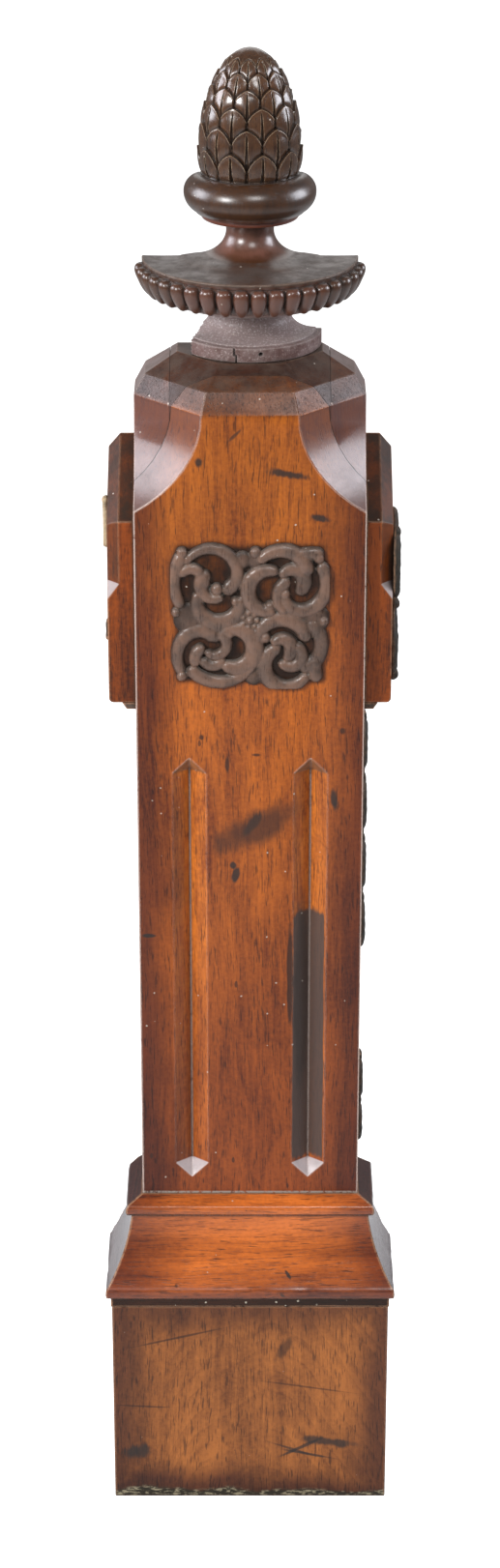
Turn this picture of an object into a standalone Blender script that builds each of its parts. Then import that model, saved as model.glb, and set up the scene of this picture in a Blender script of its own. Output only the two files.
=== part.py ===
"""Newel post: the front half of a square post, built of boards and cut flat down its back.

Metres, +Z up. The front looks towards -Y and the flat back towards +Y. The origin is on the
floor, in the middle of the post's overall width and depth.
"""

import math

import bmesh
import bpy
from mathutils import Matrix, Vector

# Clearance between touching pieces, and the overshoot of a cutter past what it cuts
GAP = 0.0003
OVERSHOOT = 0.01
CUTTER_SHARE = 1.6

# Shaft of boards
SHAFT_WIDTH = 0.2032
SHAFT_DEPTH = 0.1016
FRONT_BOARD = 0.0264
SIDE_BOARD = 0.0316
EAVE_HEIGHT = 1.0975

# Scooped corners and the low hipped cap above the eave
CORNER_CUT = 0.0595
SCOOP_RADIUS = 0.113
SCOOP_STEPS = 8
BAND_INSET = 0.0096
BAND_RISE = 0.0179
CAP_INSET = 0.038
CAP_RISE = 0.0345
HEAD_BLOCK_DROP = 0.06

# Stopped grooves on the front
GROOVE_WIDTH = 0.0305
GROOVE_DEPTH = 0.012
GROOVE_CENTRES = 0.109
GROOVE_STOP = 0.015
GROOVE_TOP_BELOW_EAVE = 0.3213
GROOVE_FOOT_ABOVE_MOULDING = 0.0183

# Plinth boards and the two mouldings above them
PLINTH_HEIGHT = 0.2185
PLINTH_BOARD = 0.030
COVE_HEIGHT = 0.0889
COVE_NOSE = 0.0355
COVE_TOP = 0.0105
COVE_SAG = 0.0039
COVE_STEPS = 6
NOSE_SOFTENING = 0.001
FILLET_HEIGHT = 0.009
FILLET_OUT = 0.0308
NOSE_HEIGHT = 0.0125
NOSE_FOOT_SHARE = 0.12
NOSE_ROUND_SHARE = 0.28
NOSE_TOP_SHARE = 0.3
BEVEL_HEIGHT = 0.0178
BEVEL_NOSE = 0.0158
BEVEL_FALL = 0.006
BEVEL_UNDER_SHARE = 0.76
BEVEL_CENTRE_SHARE = 0.55
BEVEL_FLAT_SHARE = 0.8
BEVEL_ROUND_SHARE = 0.85
BEVEL_SHOULDER_SHARE = 0.84
SIDE_MOULDING_DEPTH = 0.073

# Blocks on the two sides of the shaft
BLOCK_OUT = 0.024
BLOCK_SETBACK = 0.014
BLOCK_TOP_BELOW_EAVE = 0.0487
BLOCK_SLOPE_RISE = 0.053
BLOCK_HEIGHT = 0.1714
BLOCK_CHAMFER = 0.0105
STOP_BELOW_CREASE = 0.0578
STOP_LENGTH = 0.0146
BLOCK_FOOT_ROUND = 0.004
STRIP_HEIGHT = 0.0058
STRIP_OUT = 0.0123
STRIP_FOOT_OUT = 0.0085

# Pierced panels and the carved drop
PANEL_WIDTH = 0.138
PANEL_HEIGHT = 0.1315
PANEL_THICKNESS = 0.0068
PANEL_BELOW_EAVE = 0.1825
SIDE_PANEL_HEIGHT = 0.152
SIDE_PANEL_MARGIN = 0.005
SIDE_PANEL_ABOVE_FOOT = 0.0886
DROP_WIDTH = 0.046
DROP_THICKNESS = 0.0055
DROP_BELOW_BLOCK = 0.0244
DROP_LENGTH = 0.243
DROP_END_ABOVE_MOULDING = 0.0272
DROP_END_LENGTH = 0.094
RIB_TOP_SHARE = 0.5
RIB_SPREAD = 1.26
LOWEST_RIB_SHARE = 0.8
UNEVEN_SHARE = 0.618
WEB_SHARE = 0.55
BUTTON_TOP_SHARE = 0.62
RIB_STEP = 39.0
SIDE_RIB_STEP = 50.0
LEAF_STEP = 64.0
SPLINTER_SHARE = 0.7

# Turned finial: foot, dish with beads, neck, cup
FOOT_RADIUS = 0.063
FOOT_THICKNESS = 0.0128
FOOT_FLARE = 0.0575
FOOT_NECK = 0.0356
FOOT_HEIGHT = 0.036
FOOT_NECK_LIP = 0.0012
FOOT_RISE_SHARE = 0.62
FOOT_BREAK_ACROSS = 0.0226
FOOT_BREAK_DEPTH = 0.0372
FOOT_BREAK_SPLAY = 0.0102
FOOT_BREAK_RISE = 0.006
DISH_RADIUS = 0.0943
DISH_HEIGHT = 0.0422
DISH_EDGE = 0.0048
BEAD_RING_RADIUS = 0.0945
BEAD_COUNT = 20
BEAD_HEIGHT = 0.0262
BEAD_WIDTH = 0.0146
BEAD_BULGE = 0.0074
BEAD_BED = 0.008
BEAD_BED_SHARE = 0.92
RIM_WALL_SHARE = 0.15
BEAD_SIDE_SHARE = 0.93
BEAD_TAPER = 0.26
BEAD_LEAN = 0.0038
BEAD_SINK = 0.003
NECK_RADIUS = 0.0208
NECK_FLARE = 0.047
NECK_HEIGHT = 0.0352
FLARE_RISE_SHARE = 0.6
FLARE_EDGE_SHARE = 1.25
RING_RADIUS = 0.0427
RING_HEIGHT = 0.0055
RING_NECK_SHARE = 1.03
RING_UNDER_SHARE = 0.98
RING_LOW_SHARE = 0.22
RING_HIGH_SHARE = 0.15
CUP_CENTRE = 0.0405
CUP_SECTION = 0.0171
DISH_FALL = 0.0024
TURNING_STEPS = 20

# Cone of overlapping scales
CONE_HEIGHT = 0.1078
CONE_RADIUS = 0.0435
CONE_FOOT_RADIUS = 0.0428
CONE_BELLY = 0.02
SCALES_IN_RING = 10
SCALE_ROWS = 6
SCALE_FIRST_PITCH = 0.0245
SCALE_PITCH_RATIO = 0.845
SCALE_NOTCH_SHARE = 0.85
SCALE_LIFT = 0.0017
SCALE_SINK = 0.0012
SLIT_DEPTH = 0.0028
SCALE_STEP = 0.0007
ARCH_LEAN = 0.5
SCALE_ACROSS_SHARES = (0, 0.09, 0.5, 0.91)
SCALE_LEAST_SHARE = 0.45
SCALE_BODY_SHARE = 0.45
SCALE_BODY_LIFT_SHARE = 0.35
SCALE_SIDE_FALL_SHARE = 0.45
CROWN_SHARES = (0.3, 0.58, 0.82)

# Places that follow from the sizes above
BACK = (SHAFT_DEPTH + COVE_NOSE) / 2
FRONT = BACK - SHAFT_DEPTH
HALF = SHAFT_WIDTH / 2
CAP_TOP = EAVE_HEIGHT + CAP_RISE
COVE_BOTTOM = PLINTH_HEIGHT + GAP
BEVEL_BOTTOM = COVE_BOTTOM + COVE_HEIGHT + GAP
MOULDING_TOP = BEVEL_BOTTOM + BEVEL_HEIGHT
BLOCK_BACK_TOP = EAVE_HEIGHT - BLOCK_TOP_BELOW_EAVE
BLOCK_CREASE = BLOCK_BACK_TOP - BLOCK_SLOPE_RISE
BLOCK_FOOT = BLOCK_CREASE - BLOCK_HEIGHT
BLOCK_FACE = HALF + GAP + BLOCK_OUT
BLOCK_FRONT = FRONT + BLOCK_SETBACK
FOOT_BOTTOM = CAP_TOP + GAP
DISH_BOTTOM = FOOT_BOTTOM + FOOT_HEIGHT + GAP
DISH_TOP = DISH_BOTTOM + DISH_HEIGHT
RING_BOTTOM = DISH_TOP + NECK_HEIGHT
RING_TOP = RING_BOTTOM + RING_HEIGHT
CUP_RISE = 0.97 * CUP_SECTION
CUP_TOP = RING_TOP + 2 * CUP_RISE
CONE_FOOT = CUP_TOP + GAP

# The panel's drawing: 142 wide and 127 high, x to the right, y down, angles clockwise from +x.
# A scroll is (centre x, centre y, first angle, last angle, first radius, last radius,
# width at the start, in the middle and at the end); its radius closes in with the square of the way.
DRAWING_WIDTH = 142.0
DRAWING_HEIGHT = 127.0
DRAWING_CENTRE = (79.0, 68.5)
LEFT_SCROLLS = (
    (47, 38, -150, 48, 31, 10, 5, 8, 9),
    (44, 41, -90, -318, 8, 15, 13, 9, 5),
    (51, 56, 205, -14, 20, 19, 6, 11, 6),
    (55, 40, 217, 150, 45, 43, 8, 8, 7),
    (27, 37, 195, 335, 11, 9, 6, 7, 7),
    (43, 103, -218, -60, 31, 11, 7, 9, 10),
    (65, 100, -128, 132, 19, 16, 6, 12, 7),
    (50, 95, 142, 30, 34, 38, 8, 8, 4),
    (40, 108, 140, 262, 11, 10, 8, 8, 6),
    (47, 96, 152, -78, 9, 13, 5, 7, 8),
    (44, 105, 165, 15, 9, 12, 6, 7, 7),
)
RIGHT_SCROLLS = (
    (113, 42, -142, -28, 34, 20, 6, 9, 9),
    (134, 60, -110, -76, 48, 46, 6, 7, 9),
    (118, 39, -160, 80, 12, 7, 5, 10, 9),
    (117, 50, -95, -255, 12, 17, 8, 7, 6),
    (117, 43, -42, 138, 32, 9, 8, 9, 7),
    (96, 47, -62, -290, 19, 18, 6, 10, 6),
    (111, 97, -182, -12, 27, 19, 5, 10, 8),
    (115, 100, -57, 62, 31, 19, 8, 9, 8),
    (170, 118, 202, 158, 32, 31, 8, 8, 9),
    (110, 115, -98, -342, 17, 22, 7, 10, 6),
    (108, 99, -160, 85, 9, 8, 5, 9, 8),
    (117, 105, -82, 155, 9, 12, 6, 8, 6),
)
# Balls and low webs between the scrolls: (x, y, radius)
LEFT_BALLS = ((18, 12, 5.4), (12, 66, 4.6), (66, 56, 4.6), (49, 45, 6.0), (61, 85, 4.8), (17, 124, 5.2))
RIGHT_BALLS = ((84, 12, 5.6), (97, 60, 4.8), (111, 49, 4.8), (93, 89, 5.2), (146, 74, 4.6), (141, 17, 5.0))
CENTRE_BALLS = ((79, 73, 4.2),)
LEFT_WEBS = ((24, 72, 14), (72, 19, 8), (77, 72, 12), (82, 125, 8))
RIGHT_WEBS = ((84, 19, 8), (139, 72, 12), (92, 126, 6))
SPLINTERS = (
    ("left_panel_remnant_upper", (-27, -51, 255, 138, 26, 23, 4, 6, 3)),
    ("left_panel_remnant_lower", (-58, 36, 210, 120, 12, 11, 3, 4, 2)),
)

# The drawing of one husk of the drop, x to the right and y down from its top
HUSK_DRAWING_WIDTH = 100.0
HUSK_DRAWING_HEIGHT = 84.0
UPPER_HUSK_COUNT = 4
LOWER_HUSK_COUNT = 2
HUSK_MARGIN = 3
HUSK_TAPER_SHARE = 0.1
# Leaves of a pair: (side, first angle, last angle, share of the height), then one leaf's centre
# distance, first and last radius, its three widths, the ball's radius and the stem's (x, level)
HUSK_LEAVES = ((-1, -65, -330, 0.9), (1, -115, 150, 0.86))
HUSK_LEAF = (19, 25, 14)
HUSK_LEAF_WIDTHS = (9, 17, 11)
HUSK_BALL = 11
STEM_SECTION = ((-6, 0.0), (6, 0.0), (4, 0.6), (-4, 0.6))


def clear_scene():
    """Take away whatever objects the scene holds."""
    for thing in list(bpy.data.objects):
        bpy.data.objects.remove(thing, do_unlink=True)


def material(name, colour, roughness):
    """A Principled BSDF material with one base colour."""
    made = bpy.data.materials.new(name)
    made.use_nodes = True
    shader = made.node_tree.nodes["Principled BSDF"]
    shader.inputs["Base Color"].default_value = (*colour, 1.0)
    shader.inputs["Roughness"].default_value = roughness
    shader.inputs["Metallic"].default_value = 0.0
    return made


def add_object(name, points, faces, matrix=None):
    """One closed mesh object from points and faces, its faces turned outwards."""
    mesh = bpy.data.meshes.new(name)
    mesh.from_pydata([tuple(point) for point in points], [], faces)
    shape = bmesh.new()
    shape.from_mesh(mesh)
    bmesh.ops.remove_doubles(shape, verts=shape.verts, dist=1e-6)
    bmesh.ops.recalc_face_normals(shape, faces=shape.faces)
    if matrix is not None:
        bmesh.ops.transform(shape, matrix=matrix, verts=shape.verts)
    shape.to_mesh(mesh)
    shape.free()
    made = bpy.data.objects.new(name, mesh)
    bpy.context.scene.collection.objects.link(made)
    return made


def finish(thing, name, look, smooth_angle=None):
    """Name a finished piece, give it its material and its shading."""
    thing.name = name
    thing.data.name = name
    thing.data.materials.clear()
    thing.data.materials.append(look)
    if smooth_angle is not None:
        thing.data.shade_smooth()
        thing.data.set_sharp_from_angle(angle=math.radians(smooth_angle))
    return thing


def combine(target, other, operation, own_overlaps=False):
    """Apply an exact Boolean to the target and remove the other object."""
    modifier = target.modifiers.new(operation.lower(), "BOOLEAN")
    modifier.operation = operation
    modifier.solver = "EXACT"
    modifier.use_self = own_overlaps
    modifier.object = other
    graph = bpy.context.evaluated_depsgraph_get()
    result = bpy.data.meshes.new_from_object(target.evaluated_get(graph))
    target.modifiers.clear()
    target.data = result
    bpy.data.objects.remove(other, do_unlink=True)
    tidy(target)
    return target


def tidy(thing):
    """Merge the doubled points and flat cuts that a Boolean leaves behind."""
    shape = bmesh.new()
    shape.from_mesh(thing.data)
    bmesh.ops.remove_doubles(shape, verts=shape.verts, dist=2e-5)
    bmesh.ops.dissolve_degenerate(shape, edges=shape.edges, dist=1e-5)
    bmesh.ops.dissolve_limit(
        shape, angle_limit=math.radians(0.05), verts=shape.verts, edges=shape.edges
    )
    bmesh.ops.triangulate(shape, faces=shape.faces)
    shape.to_mesh(thing.data)
    shape.free()


def box(name, x_range, y_range, z_range):
    """A box between two limits along each axis."""
    points = [(x, y, z) for x in x_range for y in y_range for z in z_range]
    faces = [(0, 1, 3, 2), (4, 6, 7, 5), (0, 4, 5, 1), (2, 3, 7, 6), (0, 2, 6, 4), (1, 5, 7, 3)]
    return add_object(name, points, faces)


def loft(name, rings, matrix=None):
    """A closed body through rings of points, with a flat face on its first and last ring."""
    count = len(rings[0])
    points = [point for ring in rings for point in ring]
    faces = [tuple(range(count)), tuple(range(len(points) - count, len(points)))]
    for level in range(len(rings) - 1):
        for k in range(count):
            after = (k + 1) % count
            low = level * count
            faces.append((low + k, low + after, low + count + after, low + count + k))
    return add_object(name, points, faces, matrix)


def hull(name, points):
    """The convex body around a few points."""
    shape = bmesh.new()
    for point in points:
        shape.verts.new(point)
    bmesh.ops.convex_hull(shape, input=shape.verts)
    mesh = bpy.data.meshes.new(name)
    shape.to_mesh(mesh)
    shape.free()
    made = bpy.data.objects.new(name, mesh)
    bpy.context.scene.collection.objects.link(made)
    return made


def octagon(inset, cut, height):
    """One level of the whole post, moved in by the inset and with its four corners cut."""
    across = HALF - inset
    deep = SHAFT_DEPTH - inset
    corner = max(cut - inset * (2 - math.sqrt(2)), 0.0)
    outline = []
    for side_x, side_y in ((1, -1), (1, 1), (-1, 1), (-1, -1)):
        near_x = (side_x * across, side_y * (deep - corner))
        near_y = (side_x * (across - corner), side_y * deep)
        outline += [near_y, near_x] if side_x * side_y < 0 else [near_x, near_y]
    return [(x, BACK + y, height) for x, y in outline]


def post_envelope():
    """The whole post's outer form: square shaft, scooped corners and hipped cap."""
    scoop_depth = CORNER_CUT / math.sqrt(2)
    last = math.acos(1 - scoop_depth / SCOOP_RADIUS)
    rings = [octagon(0, 0, -OVERSHOOT)]
    for step in range(SCOOP_STEPS + 1):
        angle = last * (1 - step / SCOOP_STEPS)
        depth = scoop_depth - SCOOP_RADIUS * (1 - math.cos(angle))
        rings.append(octagon(0, depth * math.sqrt(2), EAVE_HEIGHT - SCOOP_RADIUS * math.sin(angle)))
    rings.append(octagon(BAND_INSET, CORNER_CUT, EAVE_HEIGHT + BAND_RISE))
    rings.append(octagon(CAP_INSET, CORNER_CUT, CAP_TOP))
    return loft("envelope", rings)


def groove_cutter(centre):
    """A V groove along Z whose two ends run out in a point."""
    top = EAVE_HEIGHT - GROOVE_TOP_BELOW_EAVE
    foot = MOULDING_TOP + GROOVE_FOOT_ABOVE_MOULDING
    half = GROOVE_WIDTH / 2
    outline = (
        (0, foot),
        (half, foot + GROOVE_STOP),
        (half, top - GROOVE_STOP),
        (0, top),
        (-half, top - GROOVE_STOP),
        (-half, foot + GROOVE_STOP),
    )
    points = [(centre + x, FRONT - OVERSHOOT, z) for x, z in outline]
    points += [(centre + x, FRONT, z) for x, z in outline]
    points.append((centre, FRONT + GROOVE_DEPTH, foot + GROOVE_STOP))
    points.append((centre, FRONT + GROOVE_DEPTH, top - GROOVE_STOP))
    faces = [(0, 1, 2, 3, 4, 5)]
    faces += [(k, (k + 1) % 6, 6 + (k + 1) % 6, 6 + k) for k in range(6)]
    faces += [(6, 7, 12), (6, 12, 11), (7, 8, 13, 12), (10, 11, 12, 13), (8, 9, 13), (9, 10, 13)]
    return add_object("groove", points, faces)


def shaft_boards(look):
    """Front board, two side boards and the block that closes the head between them."""
    inner = HALF - SIDE_BOARD
    behind = FRONT + FRONT_BOARD + GAP
    over = CAP_TOP + OVERSHOOT
    wide = HALF + OVERSHOOT
    front = box("front", (-wide, wide), (FRONT - OVERSHOOT, behind - GAP), (0, over))
    combine(front, post_envelope(), "INTERSECT")
    for side in (-1, 1):
        combine(front, groove_cutter(side * GROOVE_CENTRES / 2), "DIFFERENCE")
    finish(front, "shaft_front_board", look, 20)
    for side, name in ((-1, "shaft_left_board"), (1, "shaft_right_board")):
        reach = sorted((side * inner, side * (HALF + OVERSHOOT)))
        board = box(name, reach, (behind, BACK), (0, over))
        combine(board, post_envelope(), "INTERSECT")
        finish(board, name, look, 20)
    head_foot = EAVE_HEIGHT - HEAD_BLOCK_DROP
    head = box("head", (GAP - inner, inner - GAP), (behind, BACK), (head_foot, over))
    combine(head, post_envelope(), "INTERSECT")
    finish(head, "cap_block", look, 20)


def plinth_boards(look):
    """Three boards wrapped round the foot of the shaft; the front one covers the side ones' ends."""
    wide = HALF + PLINTH_BOARD
    front = box("front", (-wide, wide), (FRONT - PLINTH_BOARD, FRONT - GAP), (0, PLINTH_HEIGHT))
    finish(front, "plinth_front", look)
    for side, name in ((-1, "plinth_left"), (1, "plinth_right")):
        reach = sorted((side * (HALF + GAP), side * wide))
        finish(box(name, reach, (FRONT, BACK), (0, PLINTH_HEIGHT)), name, look)


def cove_profile():
    """Section of the lower moulding as (out from the shaft, up): fillet, nose and hollow."""
    nose_foot = FILLET_HEIGHT + NOSE_FOOT_SHARE * NOSE_HEIGHT
    nose_top = FILLET_HEIGHT + NOSE_HEIGHT
    outline = [(GAP, 0), (FILLET_OUT, 0), (FILLET_OUT, FILLET_HEIGHT)]
    outline.append((COVE_NOSE - NOSE_SOFTENING, nose_foot))
    outline.append((COVE_NOSE, nose_foot + NOSE_ROUND_SHARE * NOSE_HEIGHT))
    outline.append((COVE_NOSE, nose_top - NOSE_TOP_SHARE * NOSE_HEIGHT))
    low = Vector((COVE_NOSE - NOSE_SOFTENING, nose_top))
    high = Vector((COVE_TOP, COVE_HEIGHT))
    chord = high - low
    inward = Vector((-chord.y, chord.x)).normalized()
    for step in range(COVE_STEPS + 1):
        share = step / COVE_STEPS
        point = low + chord * share + inward * COVE_SAG * 4 * share * (1 - share)
        outline.append((point.x, point.y))
    outline.append((GAP, COVE_HEIGHT))
    return outline


def bevel_profile():
    """Section of the upper moulding as (out from the shaft, up): rounded nose and sloping top."""
    shoulder = BEVEL_HEIGHT - BEVEL_FALL
    outline = [(GAP, 0), (BEVEL_UNDER_SHARE * BEVEL_NOSE, 0)]
    centre = shoulder * BEVEL_CENTRE_SHARE
    for angle in (-60, -20, 20, 60):
        turn = math.radians(angle)
        out = BEVEL_FLAT_SHARE + (1 - BEVEL_FLAT_SHARE) * math.cos(turn)
        outline.append((BEVEL_NOSE * out, centre + centre * BEVEL_ROUND_SHARE * math.sin(turn)))
    outline += [(BEVEL_SHOULDER_SHARE * BEVEL_NOSE, shoulder), (GAP, BEVEL_HEIGHT)]
    return outline


def wrap_moulding(profile, bottom, names, look):
    """A mitred moulding along the front and a little way back along both sides."""
    left = [(-HALF - out, FRONT - out, bottom + up) for out, up in profile]
    right = [(HALF + out, FRONT - out, bottom + up) for out, up in profile]
    finish(loft(names[0], [left, right]), names[0], look, 35)
    mitre_gap = GAP * math.sqrt(2)
    for side, name in ((-1, names[1]), (1, names[2])):
        near = [(side * (HALF + out), FRONT - out + mitre_gap, bottom + up) for out, up in profile]
        far = [(x, FRONT + SIDE_MOULDING_DEPTH, z) for x, y, z in near]
        finish(loft(name, [near, far]), name, look, 35)


def chamfer_cutters(side):
    """Two wedges: the block's upright outer edge down to its stop, and its sloping top's outer edge."""
    face = side * BLOCK_FACE
    inner = side * (BLOCK_FACE - BLOCK_CHAMFER)
    high = BLOCK_BACK_TOP + OVERSHOOT
    stop_top = BLOCK_CREASE - STOP_BELOW_CREASE
    near = Vector((inner, BLOCK_FRONT, 0))
    far = Vector((face, BLOCK_FRONT + BLOCK_CHAMFER, 0))
    edge = Vector((face, BLOCK_FRONT, 0))
    middle = (near + far) / 2
    spread = (near - far) / 2
    wide_near = near + spread
    wide_far = far - spread
    outer = middle + (edge - middle) * CUTTER_SHARE
    foot = stop_top - STOP_LENGTH * CUTTER_SHARE
    corners = [point + Vector((0, 0, stop_top)) for point in (wide_near, wide_far)]
    corners += [point + Vector((0, 0, high)) for point in (wide_near, wide_far, outer)]
    corners.append(outer + Vector((0, 0, foot)))
    upright = hull("upright", corners)
    slope = Vector((0, BACK - BLOCK_FRONT, BLOCK_SLOPE_RISE)).normalized()
    down = Vector((0, slope.z, -slope.y))
    start = Vector((0, BLOCK_FRONT, BLOCK_CREASE)) - slope * 2 * OVERSHOOT
    end = Vector((0, BACK, BLOCK_BACK_TOP)) + slope * OVERSHOOT
    top_line = Vector((inner, 0, 0))
    face_line = Vector((face, 0, 0)) + down * BLOCK_CHAMFER
    corner_line = Vector((face, 0, 0))
    half_way = (top_line + face_line) / 2
    reach = (top_line - face_line) / 2
    section = (top_line + reach, face_line - reach, half_way + (corner_line - half_way) * CUTTER_SHARE)
    sloping = hull("sloping", [place + point for place in (start, end) for point in section])
    return upright, sloping


def side_block(side, name, look):
    """A block with a weathered top that rises to the back, a chamfered outer edge and a rounded foot."""
    outline = (
        (BLOCK_FRONT, BLOCK_FOOT),
        (BACK, BLOCK_FOOT),
        (BACK, BLOCK_BACK_TOP),
        (BLOCK_FRONT, BLOCK_CREASE),
    )
    near = [(side * (HALF + GAP), y, z) for y, z in outline]
    far = [(side * BLOCK_FACE, y, z) for y, z in outline]
    block = loft(name, [near, far])
    shape = bmesh.new()
    shape.from_mesh(block.data)
    foot_edges = [
        edge
        for edge in shape.edges
        if all(abs(v.co.z - BLOCK_FOOT) < 1e-6 for v in edge.verts)
        and all(abs(abs(v.co.x) - BLOCK_FACE) < 1e-6 for v in edge.verts)
    ]
    round_off = {"offset": BLOCK_FOOT_ROUND, "segments": 3, "profile": 0.5, "affect": "EDGES"}
    bmesh.ops.bevel(shape, geom=foot_edges, **round_off)
    shape.to_mesh(block.data)
    shape.free()
    for cutter in chamfer_cutters(side):
        combine(block, cutter, "DIFFERENCE")
    return finish(block, name, look)


def block_strip(side, name, look):
    """A thin strip under the block, its outer edge sloping in."""
    top = BLOCK_FOOT - GAP
    outline = ((HALF + GAP, top), (HALF + STRIP_OUT, top))
    outline += ((HALF + STRIP_FOOT_OUT, top - STRIP_HEIGHT), (HALF + GAP, top - STRIP_HEIGHT))
    near = [(side * x, BLOCK_FRONT, z) for x, z in outline]
    far = [(side * x, BACK, z) for x, z in outline]
    return finish(loft(name, [near, far]), name, look)


def scroll_solid(scroll, scale, height, rib_step=RIB_STEP):
    """A rib along a scroll, wide below and narrow above, in the panel's own plane."""
    centre_x, centre_y, first, last, start_radius, end_radius, start_width, mid_width, end_width = scroll
    steps = max(3, round(abs(last - first) / rib_step))
    rings = []
    places = []
    for step in range(steps + 1):
        way = step / steps
        angle = math.radians(first + (last - first) * way)
        radius = start_radius + (end_radius - start_radius) * way * way
        places.append(Vector((centre_x + radius * math.cos(angle), centre_y + radius * math.sin(angle))))
    for step, place in enumerate(places):
        way = step / steps
        ahead = places[min(step + 1, steps)] - places[max(step - 1, 0)]
        across = Vector((-ahead.y, ahead.x)).normalized()
        ends = start_width + (end_width - start_width) * way
        middle = mid_width - (start_width + end_width) / 2
        half = RIB_SPREAD * (ends + middle * math.sin(math.pi * way)) / 2
        ring = []
        for share, level in ((-1, 0), (1, 0), (RIB_TOP_SHARE, height), (-RIB_TOP_SHARE, height)):
            point = place + across * half * share
            ring.append((point.x * scale[0], -point.y * scale[1], level))
        rings.append(ring)
    return loft("rib", rings)


def button_solid(x, y, radius, scale, height, sides=8):
    """A round button or web with a sloping edge, in the panel's own plane."""
    rings = []
    for share, level in ((1.0, 0.0), (1.0, height / 2), (BUTTON_TOP_SHARE, height)):
        ring = []
        for k in range(sides):
            angle = 2 * math.pi * (k + 0.5) / sides
            around = (x + radius * share * math.cos(angle), y + radius * share * math.sin(angle))
            ring.append((around[0] * scale[0], -around[1] * scale[1], level))
        rings.append(ring)
    return loft("button", rings)


def merged(pieces):
    """One body from many overlapping ones."""
    base = pieces[0]
    shape = bmesh.new()
    for piece in pieces[1:]:
        shape.from_mesh(piece.data)
        bpy.data.objects.remove(piece, do_unlink=True)
    mesh = bpy.data.meshes.new("others")
    shape.to_mesh(mesh)
    shape.free()
    others = bpy.data.objects.new("others", mesh)
    bpy.context.scene.collection.objects.link(others)
    return combine(base, others, "UNION", own_overlaps=True)


def carved_panel(scrolls, balls, webs, width, height, rib_step=RIB_STEP):
    """Scrolls, balls and webs of the panel's drawing as one pierced carving about its centre."""
    scale = (width / DRAWING_WIDTH, height / DRAWING_HEIGHT)
    centre_x, centre_y = DRAWING_CENTRE
    pieces = []
    for number, scroll in enumerate(scrolls):
        level = LOWEST_RIB_SHARE + (1 - LOWEST_RIB_SHARE) * (number * UNEVEN_SHARE % 1)
        rise = PANEL_THICKNESS * level
        moved = (scroll[0] - centre_x, scroll[1] - centre_y, *scroll[2:])
        pieces.append(scroll_solid(moved, scale, rise, rib_step))
    for x, y, radius in balls:
        pieces.append(button_solid(x - centre_x, y - centre_y, radius, scale, PANEL_THICKNESS))
    for x, y, radius in webs:
        pieces.append(button_solid(x - centre_x, y - centre_y, radius, scale, PANEL_THICKNESS * WEB_SHARE))
    return merged(pieces)


def place_on_face(thing, right, up, out, position):
    """Turn a carving from its own plane onto a face of the post."""
    turn = Matrix((right, up, out)).transposed().to_4x4()
    thing.data.transform(Matrix.Translation(position) @ turn)


def front_panel(look):
    """The pierced square on the front of the shaft."""
    scrolls = LEFT_SCROLLS + RIGHT_SCROLLS
    balls = LEFT_BALLS + RIGHT_BALLS + CENTRE_BALLS
    panel = carved_panel(scrolls, balls, LEFT_WEBS + RIGHT_WEBS, PANEL_WIDTH, PANEL_HEIGHT)
    position = (0, FRONT - GAP, EAVE_HEIGHT - PANEL_BELOW_EAVE)
    place_on_face(panel, (1, 0, 0), (0, 0, 1), (0, -1, 0), position)
    finish(panel, "front_panel", look, 30)


def right_panel(look):
    """The front half of the same square on the right block, cut off at the flat back."""
    half_width = BACK - BLOCK_FRONT - SIDE_PANEL_MARGIN
    balls = LEFT_BALLS + CENTRE_BALLS
    width = 2 * half_width
    panel = carved_panel(LEFT_SCROLLS, balls, LEFT_WEBS, width, SIDE_PANEL_HEIGHT, SIDE_RIB_STEP)
    keep = box("keep", (-SHAFT_WIDTH, 0), (-SHAFT_WIDTH, SHAFT_WIDTH), (-OVERSHOOT, OVERSHOOT))
    combine(panel, keep, "INTERSECT")
    position = (BLOCK_FACE + GAP, BACK, BLOCK_FOOT + SIDE_PANEL_ABOVE_FOOT)
    place_on_face(panel, (0, 1, 0), (0, 0, 1), (1, 0, 0), position)
    finish(panel, "right_panel", look, 30)


def left_remnants(look):
    """Two splinters of the lost panel that still cling to the left block."""
    half_width = BACK - BLOCK_FRONT - SIDE_PANEL_MARGIN
    scale = (half_width / DRAWING_CENTRE[0], SIDE_PANEL_HEIGHT / DRAWING_HEIGHT)
    position = (-BLOCK_FACE - GAP, BLOCK_FRONT, BLOCK_FOOT + SIDE_PANEL_ABOVE_FOOT)
    for name, scroll in SPLINTERS:
        splinter = scroll_solid(scroll, scale, PANEL_THICKNESS * SPLINTER_SHARE)
        place_on_face(splinter, (0, -1, 0), (0, 0, 1), (-1, 0, 0), position)
        finish(splinter, name, look, 30)


def drop_solid(husks, length):
    """A hanging drop: pairs of scrolled leaves on a stem, each pair round a ball."""
    scale = (DROP_WIDTH / HUSK_DRAWING_WIDTH, length / husks / HUSK_DRAWING_HEIGHT)
    pieces = []
    for number in range(husks):
        middle = HUSK_DRAWING_HEIGHT * (number + 0.5)
        size = 1.0 - HUSK_TAPER_SHARE * number / husks
        for side, first, last, level in HUSK_LEAVES:
            away, wide, narrow = (length * size for length in HUSK_LEAF)
            leaf = (side * away, middle, first, last, wide, narrow, *HUSK_LEAF_WIDTHS)
            pieces.append(scroll_solid(leaf, scale, DROP_THICKNESS * level, LEAF_STEP))
        pieces.append(button_solid(0, middle, HUSK_BALL * size, scale, DROP_THICKNESS, 6))
    stem = []
    for down in (HUSK_MARGIN, husks * HUSK_DRAWING_HEIGHT - HUSK_MARGIN):
        stem.append([(x * scale[0], -down * scale[1], up * DROP_THICKNESS) for x, up in STEM_SECTION])
    pieces.append(loft("stem", stem))
    return merged(pieces)


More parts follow.
